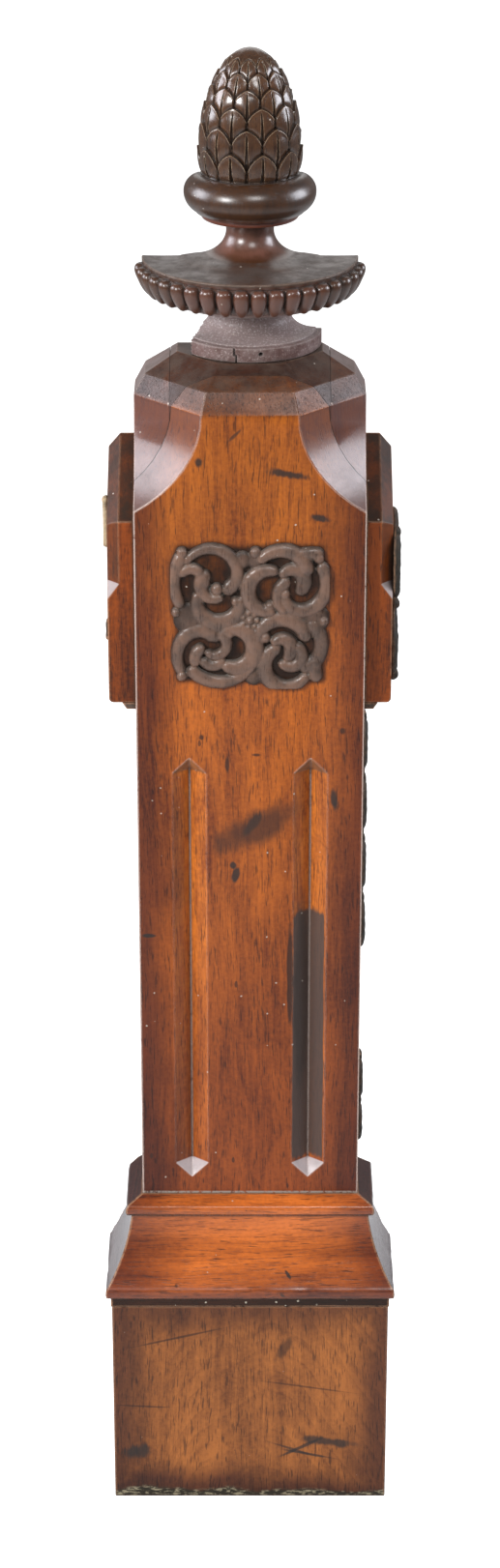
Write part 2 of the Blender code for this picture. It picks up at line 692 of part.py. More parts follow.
def right_drop(look):
    """The drop under the right block, and its last length above the base mouldings."""
    middle = (BLOCK_FRONT + BACK) / 2
    top = BLOCK_FOOT - DROP_BELOW_BLOCK
    low_top = MOULDING_TOP + DROP_END_ABOVE_MOULDING + DROP_END_LENGTH
    for name, husks, length, height in (
        ("right_drop_upper", UPPER_HUSK_COUNT, DROP_LENGTH, top),
        ("right_drop_lower", LOWER_HUSK_COUNT, DROP_END_LENGTH, low_top),
    ):
        drop = drop_solid(husks, length)
        place_on_face(drop, (0, 1, 0), (0, 0, 1), (1, 0, 0), (HALF + GAP, middle, height))
        finish(drop, name, look, 30)


def half_turning(name, profile, steps=TURNING_STEPS):
    """Turn a profile of (radius, height) through the front half circle and close the flat back."""
    rings = []
    for step in range(steps + 1):
        angle = math.pi + math.pi * step / steps
        ring = [(r * math.cos(angle), BACK + r * math.sin(angle), z) for r, z in profile]
        rings.append([(x, BACK, z) if step in (0, steps) else (x, y, z) for x, y, z in ring])
    count = len(profile)
    points = [point for ring in rings for point in ring]
    faces = []
    for step in range(steps):
        for k in range(count - 1):
            here = step * count + k
            faces.append((here, here + count, here + count + 1, here + 1))
    last = steps * count
    faces.append(tuple(range(count)) + tuple(range(last + count - 1, last - 1, -1)))
    return add_object(name, points, faces)


def arc(centre, radius, first, last, steps):
    """Points (out, up) along an arc, angles in degrees from straight out."""
    turns = [math.radians(first + (last - first) * step / steps) for step in range(steps + 1)]
    return [(centre[0] + radius * math.cos(turn), centre[1] + radius * math.sin(turn)) for turn in turns]


def finial_foot(look):
    """Disc and flared neck under the dish, with the disc's left back corner broken away."""
    disc_top = FOOT_BOTTOM + FOOT_THICKNESS
    top = FOOT_BOTTOM + FOOT_HEIGHT
    flare = FOOT_FLARE - FOOT_NECK
    rise = (FOOT_HEIGHT - FOOT_THICKNESS) * FOOT_RISE_SHARE
    profile = [(0, FOOT_BOTTOM), (FOOT_RADIUS, FOOT_BOTTOM)]
    profile += [(FOOT_RADIUS, disc_top), (FOOT_FLARE, disc_top)]
    for step in range(1, 6):
        turn = math.pi / 2 * step / 5
        up = disc_top + FOOT_NECK_LIP + rise * (1 - math.cos(turn))
        profile.append((FOOT_FLARE - flare * math.sin(turn), up))
    profile += [(FOOT_NECK, top), (0, top)]
    foot = half_turning("foot", profile)
    edge_x = -FOOT_RADIUS + FOOT_BREAK_ACROSS
    chip = hull("chip", [
        (x, y, z)
        for x, y in (
            (edge_x, BACK + OVERSHOOT),
            (edge_x - FOOT_BREAK_SPLAY, BACK - FOOT_BREAK_DEPTH),
            (-FOOT_RADIUS - OVERSHOOT, BACK - FOOT_BREAK_DEPTH),
            (-FOOT_RADIUS - OVERSHOOT, BACK + OVERSHOOT),
        )
        for z in (FOOT_BOTTOM - OVERSHOOT, disc_top + FOOT_BREAK_RISE)
    ])
    combine(foot, chip, "DIFFERENCE")
    finish(foot, "finial_foot", look, 35)


def dish_profile():
    """Section of the dish, its neck, ring and cup, from the joint with the foot upwards."""
    rim_foot = DISH_TOP - DISH_EDGE
    bed_foot = rim_foot - BEAD_BED_SHARE * BEAD_HEIGHT
    bed_radius = BEAD_RING_RADIUS - BEAD_BED
    under = bed_foot - DISH_BOTTOM
    profile = [(0, DISH_BOTTOM), (FOOT_NECK, DISH_BOTTOM)]
    for share in (0.35, 0.7):
        out = FOOT_NECK + (bed_radius - FOOT_NECK) * share
        profile.append((out, DISH_BOTTOM + under * share * share))
    profile.append((bed_radius, bed_foot))
    profile.append((DISH_RADIUS - GAP, rim_foot - RIM_WALL_SHARE * BEAD_HEIGHT))
    profile += [(DISH_RADIUS, rim_foot), (DISH_RADIUS, DISH_TOP)]
    profile.append((FLARE_EDGE_SHARE * NECK_FLARE, DISH_TOP + DISH_FALL / 4))
    profile.append((NECK_FLARE, DISH_TOP + DISH_FALL))
    bend = NECK_FLARE - NECK_RADIUS
    climb = FLARE_RISE_SHARE * NECK_HEIGHT
    for step in range(1, 4):
        turn = math.pi / 2 * step / 3
        out = NECK_FLARE - bend * math.sin(turn)
        profile.append((out, DISH_TOP + DISH_FALL + climb * (1 - math.cos(turn))))
    profile.append((RING_NECK_SHARE * NECK_RADIUS, RING_BOTTOM))
    profile.append((RING_UNDER_SHARE * RING_RADIUS, RING_BOTTOM))
    profile.append((RING_RADIUS, RING_BOTTOM + RING_LOW_SHARE * RING_HEIGHT))
    profile.append((RING_RADIUS, RING_TOP - RING_HIGH_SHARE * RING_HEIGHT))
    section = arc((CUP_CENTRE, RING_TOP + CUP_RISE), CUP_SECTION, -66, 76, 7)
    low = (section[0][0], RING_TOP)
    return profile + [low] + section + [(0, CUP_TOP)]


def bead(angle):
    """One egg of the ring under the dish, broad end up."""
    shape = bmesh.new()
    bmesh.ops.create_uvsphere(shape, u_segments=6, v_segments=5, radius=1.0)
    for point in shape.verts:
        taper = 1.0 + BEAD_TAPER * point.co.z
        lean = BEAD_LEAN * point.co.z
        across = point.co.y * taper * BEAD_WIDTH / 2 * BEAD_SIDE_SHARE
        out = point.co.x * taper * BEAD_BULGE + lean
        point.co = (out, across, point.co.z * BEAD_HEIGHT / 2)
    centre = Vector((BEAD_RING_RADIUS - BEAD_SINK, 0, DISH_TOP - DISH_EDGE - BEAD_HEIGHT / 2 + GAP))
    turn = Matrix.Translation((0, BACK, 0)) @ Matrix.Rotation(angle, 4, "Z") @ Matrix.Translation(centre)
    bmesh.ops.transform(shape, matrix=turn, verts=shape.verts)
    mesh = bpy.data.meshes.new("bead")
    shape.to_mesh(mesh)
    shape.free()
    made = bpy.data.objects.new("bead", mesh)
    bpy.context.scene.collection.objects.link(made)
    return made


def finial_dish(look):
    """The dish with its ring of beads, the neck, the ring and the cup, turned from one piece."""
    pieces = [half_turning("dish", dish_profile())]
    for number in range(BEAD_COUNT):
        pieces.append(bead(math.pi + math.pi * (number + 0.5) / BEAD_COUNT))
    dish = merged(pieces)
    finish(dish, "finial_dish", look, 40)


def cone_radius(height):
    """Radius of the cone's body at a height above its foot."""
    if height <= CONE_BELLY:
        share = 1 - height / CONE_BELLY
        return CONE_RADIUS - (CONE_RADIUS - CONE_FOOT_RADIUS) * share * share
    share = min((height - CONE_BELLY) / (CONE_HEIGHT - CONE_BELLY), 1.0)
    return CONE_RADIUS * math.sqrt(max(1 - share**1.8, 0.0))


def arch_drop(share):
    """How far the edge of a scale has dropped at a share of its half width: a pointed arch."""

    def height(x):
        return math.sqrt(max(1 - ((x + ARCH_LEAN) / (1 + ARCH_LEAN)) ** 2, 0.0))

    return 1 - height(share) / height(0)


def pine_cone(look):
    """Rows of pointed scales slit down the middle, each row half a scale round from the last."""
    half_pitch = 180.0 / SCALES_IN_RING
    offsets = [share * half_pitch for share in SCALE_ACROSS_SHARES]
    angles = [k * half_pitch + offset for k in range(SCALES_IN_RING) for offset in offsets] + [180.0]
    tips = [SCALE_FIRST_PITCH]
    pitches = [SCALE_FIRST_PITCH]
    for row in range(1, SCALE_ROWS):
        pitches.append(pitches[-1] * SCALE_PITCH_RATIO)
        tips.append(tips[-1] + pitches[-1])
    columns = []
    for angle in angles:
        column = [(cone_radius(0), 0.0)]
        low = 0.0
        for row in range(SCALE_ROWS):
            phase = angle / half_pitch + row
            off = abs(phase / 2 - round(phase / 2)) * 2
            edge = tips[row] - SCALE_NOTCH_SHARE * pitches[row] * arch_drop(off)
            slit = SLIT_DEPTH if off < 0.05 else 0.0
            size = SCALE_LEAST_SHARE + (1 - SCALE_LEAST_SHARE) * cone_radius(edge) / CONE_RADIUS
            body = low + (edge - low) * SCALE_BODY_SHARE
            column.append((cone_radius(body) + (SCALE_LIFT * SCALE_BODY_LIFT_SHARE - slit) * size, body))
            column.append((cone_radius(edge) + SCALE_LIFT * (1 - SCALE_SIDE_FALL_SHARE * off) * size, edge))
            column.append((cone_radius(edge) - SCALE_SINK * size, edge + SCALE_STEP))
            low = edge + SCALE_STEP
        for share in CROWN_SHARES:
            height = low + (CONE_HEIGHT - low) * share
            column.append((cone_radius(height), height))
        columns.append(column)
    count = len(columns[0])
    points = []
    for angle, column in zip(angles, columns):
        turn = math.pi + math.radians(angle)
        for radius, height in column:
            y = BACK if angle in (0, 180.0) else BACK + radius * math.sin(turn)
            points.append((radius * math.cos(turn), y, CONE_FOOT + height))
    apex = len(points)
    centre = apex + 1
    points += [(0, BACK, CONE_FOOT + CONE_HEIGHT), (0, BACK, CONE_FOOT)]
    faces = []
    for c in range(len(columns) - 1):
        for k in range(count - 1):
            here = c * count + k
            faces.append((here, here + count, here + count + 1, here + 1))
        faces.append(((c + 1) * count - 1, (c + 2) * count - 1, apex))
        faces.append((c * count, centre, (c + 1) * count))
    last = (len(columns) - 1) * count
    faces.append(tuple(range(count)) + (apex,) + tuple(range(last + count - 1, last - 1, -1)) + (centre,))
    finish(add_object("cone", points, faces), "pine_cone", look, 30)


def main():
    """Build the post from the floor up."""
    clear_scene()
    shaft_look = material("shaft_walnut", (0.23, 0.075, 0.022), 0.38)
    plinth_look = material("plinth_walnut", (0.21, 0.085, 0.03), 0.45)
    moulding_look = material("moulding_walnut", (0.24, 0.06, 0.018), 0.3)
    block_look = material("block_walnut", (0.18, 0.05, 0.02), 0.4)
    carving_look = material("carving_walnut", (0.11, 0.075, 0.055), 0.6)
    splinter_look = material("bare_splinters", (0.45, 0.38, 0.27), 0.8)
    finial_look = material("finial_walnut", (0.055, 0.022, 0.013), 0.3)
    shaft_boards(shaft_look)
    plinth_boards(plinth_look)
    cove_names = ("cove_moulding_front", "cove_moulding_left", "cove_moulding_right")
    wrap_moulding(cove_profile(), COVE_BOTTOM, cove_names, moulding_look)
    bevel_names = ("bevel_moulding_front", "bevel_moulding_left", "bevel_moulding_right")
    wrap_moulding(bevel_profile(), BEVEL_BOTTOM, bevel_names, moulding_look)
    for side, word in ((-1, "left"), (1, "right")):
        side_block(side, word + "_block", block_look)
        block_strip(side, word + "_block_strip", block_look)
    front_panel(carving_look)
    right_panel(carving_look)
    left_remnants(splinter_look)
    right_drop(carving_look)
    finial_foot(finial_look)
    finial_dish(finial_look)
    pine_cone(finial_look)


main()
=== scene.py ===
# %% [markdown]
# # A carved newel post, dressed for its photograph
#
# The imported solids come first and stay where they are. Every cell below adds one thing to them: a
# camera and light, a set of shader groups for old walnut, and finer carving that takes the place of
# the plain solids. All lengths are metres, +Z is up, and the post's front looks towards -Y.

# %% Load the frame
import math

import bmesh
import bpy
import numpy as np
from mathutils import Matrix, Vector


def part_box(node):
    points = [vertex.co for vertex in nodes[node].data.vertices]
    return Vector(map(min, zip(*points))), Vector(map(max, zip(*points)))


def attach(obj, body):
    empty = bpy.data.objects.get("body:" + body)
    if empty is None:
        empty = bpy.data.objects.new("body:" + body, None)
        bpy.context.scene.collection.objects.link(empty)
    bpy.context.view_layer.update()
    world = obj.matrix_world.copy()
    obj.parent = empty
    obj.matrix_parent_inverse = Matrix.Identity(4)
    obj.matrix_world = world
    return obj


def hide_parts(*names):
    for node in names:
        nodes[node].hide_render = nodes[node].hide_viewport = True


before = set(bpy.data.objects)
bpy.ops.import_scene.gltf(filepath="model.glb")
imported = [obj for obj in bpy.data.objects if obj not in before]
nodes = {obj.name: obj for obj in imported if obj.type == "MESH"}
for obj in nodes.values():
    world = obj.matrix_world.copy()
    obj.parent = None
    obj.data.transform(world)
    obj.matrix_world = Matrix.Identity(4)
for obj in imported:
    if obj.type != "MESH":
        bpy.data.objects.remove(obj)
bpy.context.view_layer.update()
print("nodes:", len(nodes))

# %% [markdown]
# ## Sizes
#
# The solids were made from named sizes. The finer pieces repeat the few that they need, so that each
# one stands exactly where the solid that it replaces stood.

# %% Sizes that the pieces share
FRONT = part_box("shaft_front_board")[0].y
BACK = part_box("shaft_left_board")[1].y
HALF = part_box("shaft_right_board")[1].x
EAVE = 1.0975
GAP = 0.0003
COVE_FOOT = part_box("cove_moulding_front")[0].z
BEVEL_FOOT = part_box("bevel_moulding_front")[0].z
DISH_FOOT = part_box("finial_dish")[0].z
DISH_TOP = DISH_FOOT + 0.0422
NECK_HEIGHT = 0.0352
print("front", round(FRONT, 4), "back", round(BACK, 4), "half width", round(HALF, 4))

# %% [markdown]
# ## Camera, floor and light
#
# The photograph looks slightly down on the post from about three metres, with a long lens, against
# plain white. The key lamp stands to the left and high, a second lamp in front and higher. Two cool
# lamps at the sides give the scooped corners their sheen, and a wide one behind lights the edges.

# %% Camera
def put(name, data):
    """A new object with its data, linked into the scene."""
    made = bpy.data.objects.new(name, data)
    bpy.context.scene.collection.objects.link(made)
    return made


CAMERA_PLACE = (0.0, -2.9218, 2.0554)
CAMERA_PITCH = 24.3
LENS = 81.0
SENSOR_WIDTH = 36.0
camera_data = bpy.data.cameras.new("camera")
camera_data.lens = LENS
camera_data.sensor_width = SENSOR_WIDTH
camera_data.sensor_fit = "AUTO"
camera = put("camera", camera_data)
camera.location = CAMERA_PLACE
camera.rotation_euler = (math.radians(90 - CAMERA_PITCH), 0.0, 0.0)
bpy.context.scene.camera = camera
bpy.context.scene.view_settings.view_transform = "Standard"
print("camera at", tuple(camera.location))


# %% Floor and lamps
def lamp(name, place, target, size, power, colour=(1.0, 1.0, 1.0)):
    """A square area lamp at a place, turned towards a target."""
    data = bpy.data.lights.new(name, "AREA")
    data.size = size
    data.energy = power
    data.color = colour
    made = put(name, data)
    made.location = place
    aim = Vector(target) - Vector(place)
    made.rotation_euler = aim.to_track_quat("-Z", "Y").to_euler()


def plain_floor(size=40.0):
    """A square pale floor at height 0, which glows a little for the camera alone."""
    half = size / 2
    mesh = bpy.data.meshes.new("floor")
    corners = [(-half, -half, 0), (half, -half, 0), (half, half, 0), (-half, half, 0)]
    mesh.from_pydata(corners, [], [(0, 1, 2, 3)])
    paint = bpy.data.materials.new("pale_floor")
    paint.use_nodes = True
    shader = paint.node_tree.nodes["Principled BSDF"]
    shader.inputs["Base Color"].default_value = (0.6, 0.6, 0.6, 1)
    shader.inputs["Roughness"].default_value = 0.9
    shader.inputs["Specular IOR Level"].default_value = 0.1
    shader.inputs["Emission Color"].default_value = (1, 1, 1, 1)
    seen = paint.node_tree.nodes.new("ShaderNodeLightPath").outputs["Is Camera Ray"]
    lift = paint.node_tree.nodes.new("ShaderNodeMath")
    lift.operation = "MULTIPLY"
    lift.inputs[1].default_value = 1.1
    paint.node_tree.links.new(seen, lift.inputs[0])
    paint.node_tree.links.new(lift.outputs[0], shader.inputs["Emission Strength"])
    mesh.materials.append(paint)
    put("floor", mesh)


COOL = (0.9, 0.92, 1.0)
plain_floor()
lamp("key", (-2.3, -2.3, 2.5), (0, 0, 0.65), 0.9, 105)
lamp("front_high", (0.5, -2.6, 3.4), (0, 0, 0.7), 1.0, 42)
lamp("side_left", (-1.9, 0.3, 1.75), (0, 0, 1.0), 1.0, 30, COOL)
lamp("side_right", (1.9, 0.3, 1.75), (0, 0, 1.0), 1.0, 31, COOL)
lamp("behind", (0.0, 2.6, 2.9), (0, 0, 1.0), 2.2, 16)
world = bpy.data.worlds.new("studio")
world.use_nodes = True
world.node_tree.nodes["Background"].inputs["Color"].default_value = (1, 1, 1, 1)
world.node_tree.nodes["Background"].inputs["Strength"].default_value = 0.2
bpy.context.scene.world = world
print("five lamps and a pale floor")

# %% [markdown]
# ## Shader building blocks
#
# A material here is a small program: sockets are joined by Math, Mix and Noise nodes. A Signal stands
# for one socket and can be reckoned with like a number: each + or * adds the node that does it. So a
# shader stays as short as its formula. Each helper takes signals or plain numbers.


# %% Signals and node helpers
class Signal:
    """One output socket. Reckoning with it adds a Math node, or a Vector Math node if it is a vector."""

    def __init__(self, socket):
        self.socket = socket
        self.tree = socket.id_data

    def reckon(self, operation, a, b=0.0):
        kind = "Math" if self.socket.type == "VALUE" else "VectorMath"
        return Signal(add_node(self.tree, kind, {0: a, 1: b}, operation=operation).outputs[0])

    def __add__(self, other):
        return self.reckon("ADD", self, other)

    def __sub__(self, other):
        return self.reckon("SUBTRACT", self, other)

    def __rsub__(self, other):
        return self.reckon("SUBTRACT", other, self)

    def __mul__(self, other):
        return self.reckon("MULTIPLY", self, other)

    def __truediv__(self, other):
        return self.reckon("DIVIDE", self, other)

    def __rtruediv__(self, other):
        return self.reckon("DIVIDE", other, self)

    def __pow__(self, other):
        return self.reckon("POWER", self, other)

    def __lt__(self, other):
        return self.reckon("LESS_THAN", self, other)

    def __gt__(self, other):
        return self.reckon("GREATER_THAN", self, other)

    def __abs__(self):
        return self.reckon("ABSOLUTE", self)

    def larger(self, other):
        return self.reckon("MAXIMUM", self, other)

    def clamped(self):
        """The same node, its result kept between 0 and 1."""
        self.socket.node.use_clamp = True
        return self

    def scaled(self, factor):
        """A vector times a number."""
        made = add_node(self.tree, "VectorMath", {0: self, "Scale": factor}, operation="SCALE")
        return Signal(made.outputs[0])

    def split(self):
        """The three parts of a vector."""
        return [Signal(socket) for socket in add_node(self.tree, "SeparateXYZ", {0: self}).outputs]

    def span(self, low, high, first=0.0, last=1.0):
        """One smooth Map Range node from low..high to first..last."""
        ends = {"Value": self, "From Min": low, "From Max": high, "To Min": first, "To Max": last}
        made = add_node(self.tree, "MapRange", ends, interpolation_type="SMOOTHSTEP")
        return Signal(made.outputs["Result"])


def feed(socket, value):
    """Join a socket to a signal, or give it a plain value."""
    if isinstance(value, Signal):
        socket.id_data.links.new(value.socket, socket)
    elif isinstance(value, tuple) and socket.type == "RGBA":
        socket.default_value = (*value, 1.0)
    else:
        socket.default_value = value


def add_node(tree, kind, feeds, **settings):
    """One shader node: first its settings, then what goes into each input."""
    made = tree.nodes.new("ShaderNode" + kind)
    for name, value in settings.items():
        setattr(made, name, value)
    for label, value in feeds.items():
        feed(made.inputs[label], value)
    return made


def tree_of(*values):
    """The node tree of the first signal among some values."""
    return next(value.tree for value in values if isinstance(value, Signal))


def tint(share, a, b, kind="MIX"):
    """One Mix node for colours: a where the share is 0, b where it is 1."""
    made = add_node(tree_of(share, a, b), "Mix", {0: share, 6: a, 7: b}, data_type="RGBA", blend_type=kind)
    return Signal(made.outputs[2])


def darker(share, colour, factor):
    """The colour times a factor where the share is 1; unlike a flat tint, this keeps the grain."""
    return tint(share, colour, tint(1.0, colour, factor, "MULTIPLY"))


def noise(vector, scale=1.0, detail=2.0, roughness=0.5, output="Fac"):
    """One Noise Texture node."""
    feeds = {"Vector": vector, "Scale": scale, "Detail": detail, "Roughness": roughness}
    return Signal(add_node(vector.tree, "TexNoise", feeds).outputs[output])


def surface_normal(signal):
    """The surface's normal, in the tree of a signal."""
    return Signal(add_node(signal.tree, "NewGeometry", {}).outputs["Normal"])


def openness(signal, distance, only_local=False):
    """Ambient occlusion within a distance: near 1 on open faces, low in corners."""
    made = add_node(signal.tree, "AmbientOcclusion", {"Distance": distance}, samples=6, only_local=only_local)
    return Signal(made.outputs["AO"])


KINDS = {"Vector": "Vector", "Centre": "Vector", "Normal": "Vector",
         "Light": "Color", "Dark": "Color", "Color": "Color"}


def new_group(name, inputs, outputs):
    """A shader group and its inputs and outputs; sockets that KINDS doesn't list are plain numbers."""
    tree = bpy.data.node_groups.new(name, "ShaderNodeTree")
    for way, labels in (("INPUT", inputs), ("OUTPUT", outputs)):
        for label in labels:
            kind = "NodeSocket" + KINDS.get(label, "Float")
            tree.interface.new_socket(label, in_out=way, socket_type=kind)
    entry = tree.nodes.new("NodeGroupInput").outputs
    return tree, {label: Signal(entry[label]) for label in inputs}, tree.nodes.new("NodeGroupOutput").inputs


def place_group(group, **values):
    """Put a group beside its signals; an underscore in a keyword stands for a space."""
    feeds = {label.replace("_", " "): value for label, value in values.items()}
    made = add_node(tree_of(*values.values()), "Group", feeds, node_tree=group)
    return {socket.name: Signal(socket) for socket in made.outputs}


# %% [markdown]
# ## Walnut grain
#
# A board is a slice through a tree, so its figure is best worked out in three dimensions: rings round
# an axis that leans a little against the board. Where the slice cuts the rings at a slant they show as
# nested arches, where it cuts them square they show as straight lines, and the grain runs on correctly
# round every corner. Short dark pores and long fibres are noise that is stretched along the axis.

# %% The walnut group
PORE_COLOUR = (0.02, 0.006, 0.003)
walnut_group, taken, given = new_group(
    "walnut grain",
    ("Vector", "Centre", "Lean", "Ring Width", "Light", "Dark", "Figure", "Fibre", "Cloud"),
    ("Color", "Tone", "Height"),
)
local = taken["Vector"] - taken["Centre"]
wander = noise(local * (7.0, 7.0, 1.6), 1.0, 3.0, 0.5, "Color")
swayed = local + (wander - (0.5, 0.5, 0.5)).scaled(0.045)
x, y, z = swayed.split()
radius = x.reckon("SQRT", abs(x) ** 2.0 + abs(y - taken["Lean"] * z) ** 2.0)
uneven = add_node(walnut_group, "CombineXYZ", {"X": radius * 80.0, "Y": z * 0.6})
phase = radius / taken["Ring Width"] + noise(Signal(uneven.outputs[0]), 1.0, 3.0) * 5.0
ring = phase.reckon("FRACT", phase)
rings = (1.0 - ring ** 3.0) * ring.span(0.0, 0.18)
ring_strength = noise(local * (14.0, 14.0, 2.0), 1.0, 1.0).span(0.3, 0.7, 0.35, 1.0)
fibre = noise(swayed * (420.0, 420.0, 16.0), 1.0, 4.0, 0.65)
broad_fibre = noise(swayed * (75.0, 75.0, 7.0), 1.0, 3.0, 0.6)
cloud = noise(swayed * (16.0, 16.0, 6.0), 1.0, 5.0, 0.6)
mottle = noise(local, 260.0, 3.0, 0.6)
tone = (rings - 0.6) * (taken["Figure"] * ring_strength)
tone = tone + (fibre * 0.45 + broad_fibre * 0.55 - 0.5) * (taken["Fibre"] * 2.4)
tone = tone + (cloud - 0.5) * (taken["Cloud"] * 2.6)
tone = tone + (mottle - 0.5) * (taken["Fibre"] * 0.9)
tone = (tone + 0.55).clamped()
pores = noise(swayed * (800.0, 800.0, 60.0)).span(0.57, 0.67)
feed(given["Color"], tint(pores * 0.62, tint(tone, taken["Dark"], taken["Light"]), PORE_COLOUR))
feed(given["Tone"], tone)
feed(given["Height"], fibre * 0.5 - pores)
print("walnut group:", len(walnut_group.nodes), "nodes")

# %% [markdown]
# ## Wear and painted edge highlights, dust, grime and painted recess shade, specks and stains
#
# A century of hands and brooms leaves the same marks on every board: arrises rubbed pale, dust on
# whatever looks up or lies in a corner, small pale specks, and dark smears. The pale arrises also
# carry painted highlights, and corners and creases get grime and painted shade. Each is a mask
# between 0 and 1, made once as a group.

# %% Edge wear and painted edge highlights
edge_wear_and_highlight_group, taken, given = new_group("worn and highlit edges", ("Vector", "Width", "Broken"), ("Mask", "Normal"))
rounded = Signal(add_node(edge_wear_and_highlight_group, "Bevel", {"Radius": taken["Width"]}, samples=6).outputs[0])
agree = rounded.reckon("DOT_PRODUCT", rounded, surface_normal(rounded)).socket.node.outputs["Value"]
turned = (1.0 - Signal(agree)).span(0.003, 0.03)
ragged = noise(taken["Vector"], 130.0, 4.0, 0.7)
ragged = ragged.span(taken["Broken"] * 0.9, taken["Broken"] * 0.9 + 0.18)
outside = openness(rounded, 0.006, only_local=True).span(0.76, 0.9)
# This mask is later painted pale: edge wear, and painted highlights along the arrises.
feed(given["Mask"], turned * ragged * outside)
feed(given["Normal"], rounded)

# %% Glued seams
JOINT_BEHIND_FRONT = FRONT + 0.0264
JOINT_BESIDE_HEAD = HALF - 0.0316
seam_group, taken, given = new_group("glued seams", ("Vector",), ("Clear", "Line"))
x, y, z = taken["Vector"].split()
beside = abs(abs(x) - JOINT_BESIDE_HEAD) + (z < EAVE + 0.002)
nearest = beside.reckon("MINIMUM", abs(y - JOINT_BEHIND_FRONT), beside)
feed(given["Clear"], nearest.span(0.0024, 0.0034))
feed(given["Line"], (nearest < 0.0005) * noise(taken["Vector"], 55.0).span(0.35, 0.6, 0.25, 0.75))

# %% Dust, grime and painted shade in recesses
dust_and_recess_shade_group, taken, given = new_group(
    "settled dust and recess shade", ("Vector", "Upward", "Recess", "Depth", "Level"), ("Mask", "Recess"))
upward = surface_normal(taken["Vector"]).split()[2].span(taken["Level"], 0.98) * taken["Upward"]
# Ambient occlusion finds corners and creases; besides dust, it gives the mask for grime and painted shade
# there.
recess = openness(taken["Vector"], taken["Depth"]).span(0.9, 0.35)
patchy = noise(taken["Vector"], 60.0, 4.0, 0.65).span(0.3, 0.7, 0.25, 1.0)
feed(given["Mask"], (upward + recess * taken["Recess"]).clamped() * patchy)
feed(given["Recess"], recess)

# %% Specks
specks_group, taken, given = new_group("specks", ("Vector", "Spacing", "Share", "Size"), ("Mask",))
shaken = taken["Vector"] + noise(taken["Vector"], 400.0, 2.0, 0.5, "Color").scaled(0.0012)
cells = add_node(specks_group, "TexVoronoi", {"Vector": shaken, "Scale": 1.0 / taken["Spacing"]})
lots = add_node(specks_group, "SeparateColor", {0: Signal(cells.outputs["Color"])})
chosen = Signal(lots.outputs[0]) < taken["Share"]
small = taken["Size"] * (Signal(lots.outputs[1]) + 0.25)
feed(given["Mask"], chosen * (Signal(cells.outputs["Distance"]) < small))

# %% Stains
stain_group, taken, given = new_group(
    "stain", ("Vector", "X", "Z", "Half Width", "Half Height", "Turn", "Ragged", "Soft", "Square"),
    ("Mask",))
x, y, z = taken["Vector"].split()
across = x - taken["X"]
along = z - taken["Z"]
cosine = x.reckon("COSINE", taken["Turn"])
sine = x.reckon("SINE", taken["Turn"])
first = abs((across * cosine + along * sine) / taken["Half Width"]) ** taken["Square"]
second = abs((along * cosine - across * sine) / taken["Half Height"]) ** taken["Square"]
edge = noise(taken["Vector"] * (60.0, 60.0, 25.0), 1.0, 4.0, 0.65)
reach = (first + second) ** (1.0 / taken["Square"]) + (edge - 0.5) * (taken["Ragged"] * 3.0)
feed(given["Mask"], reach.span(taken["Soft"] + 1.0, 1.0 - taken["Soft"]))
print("groups:", [group.name for group in bpy.data.node_groups])


# %% [markdown]
# ## One recipe for every board
#
# All the boards are walnut under old polish. They differ in the way the grain runs, in how red or
# dark they are, and in how much wear, dust and grime they carry, with painted highlights on their
# arrises and painted shade in their recesses, so one function makes them all. A shade is a function
# that changes the plain wood's colour by place, and says how much polish is left there.


# %% The walnut material
STAIN_DEPTH = 0.0135
SEAM_COLOUR = (0.03, 0.012, 0.007)
SPECK_COLOUR = (0.62, 0.55, 0.47)
GRAIN_DEPTH = 0.0004
ORDER = {"X": (1, 2, 0), "Y": (0, 2, 1), "Z": (0, 1, 2)}


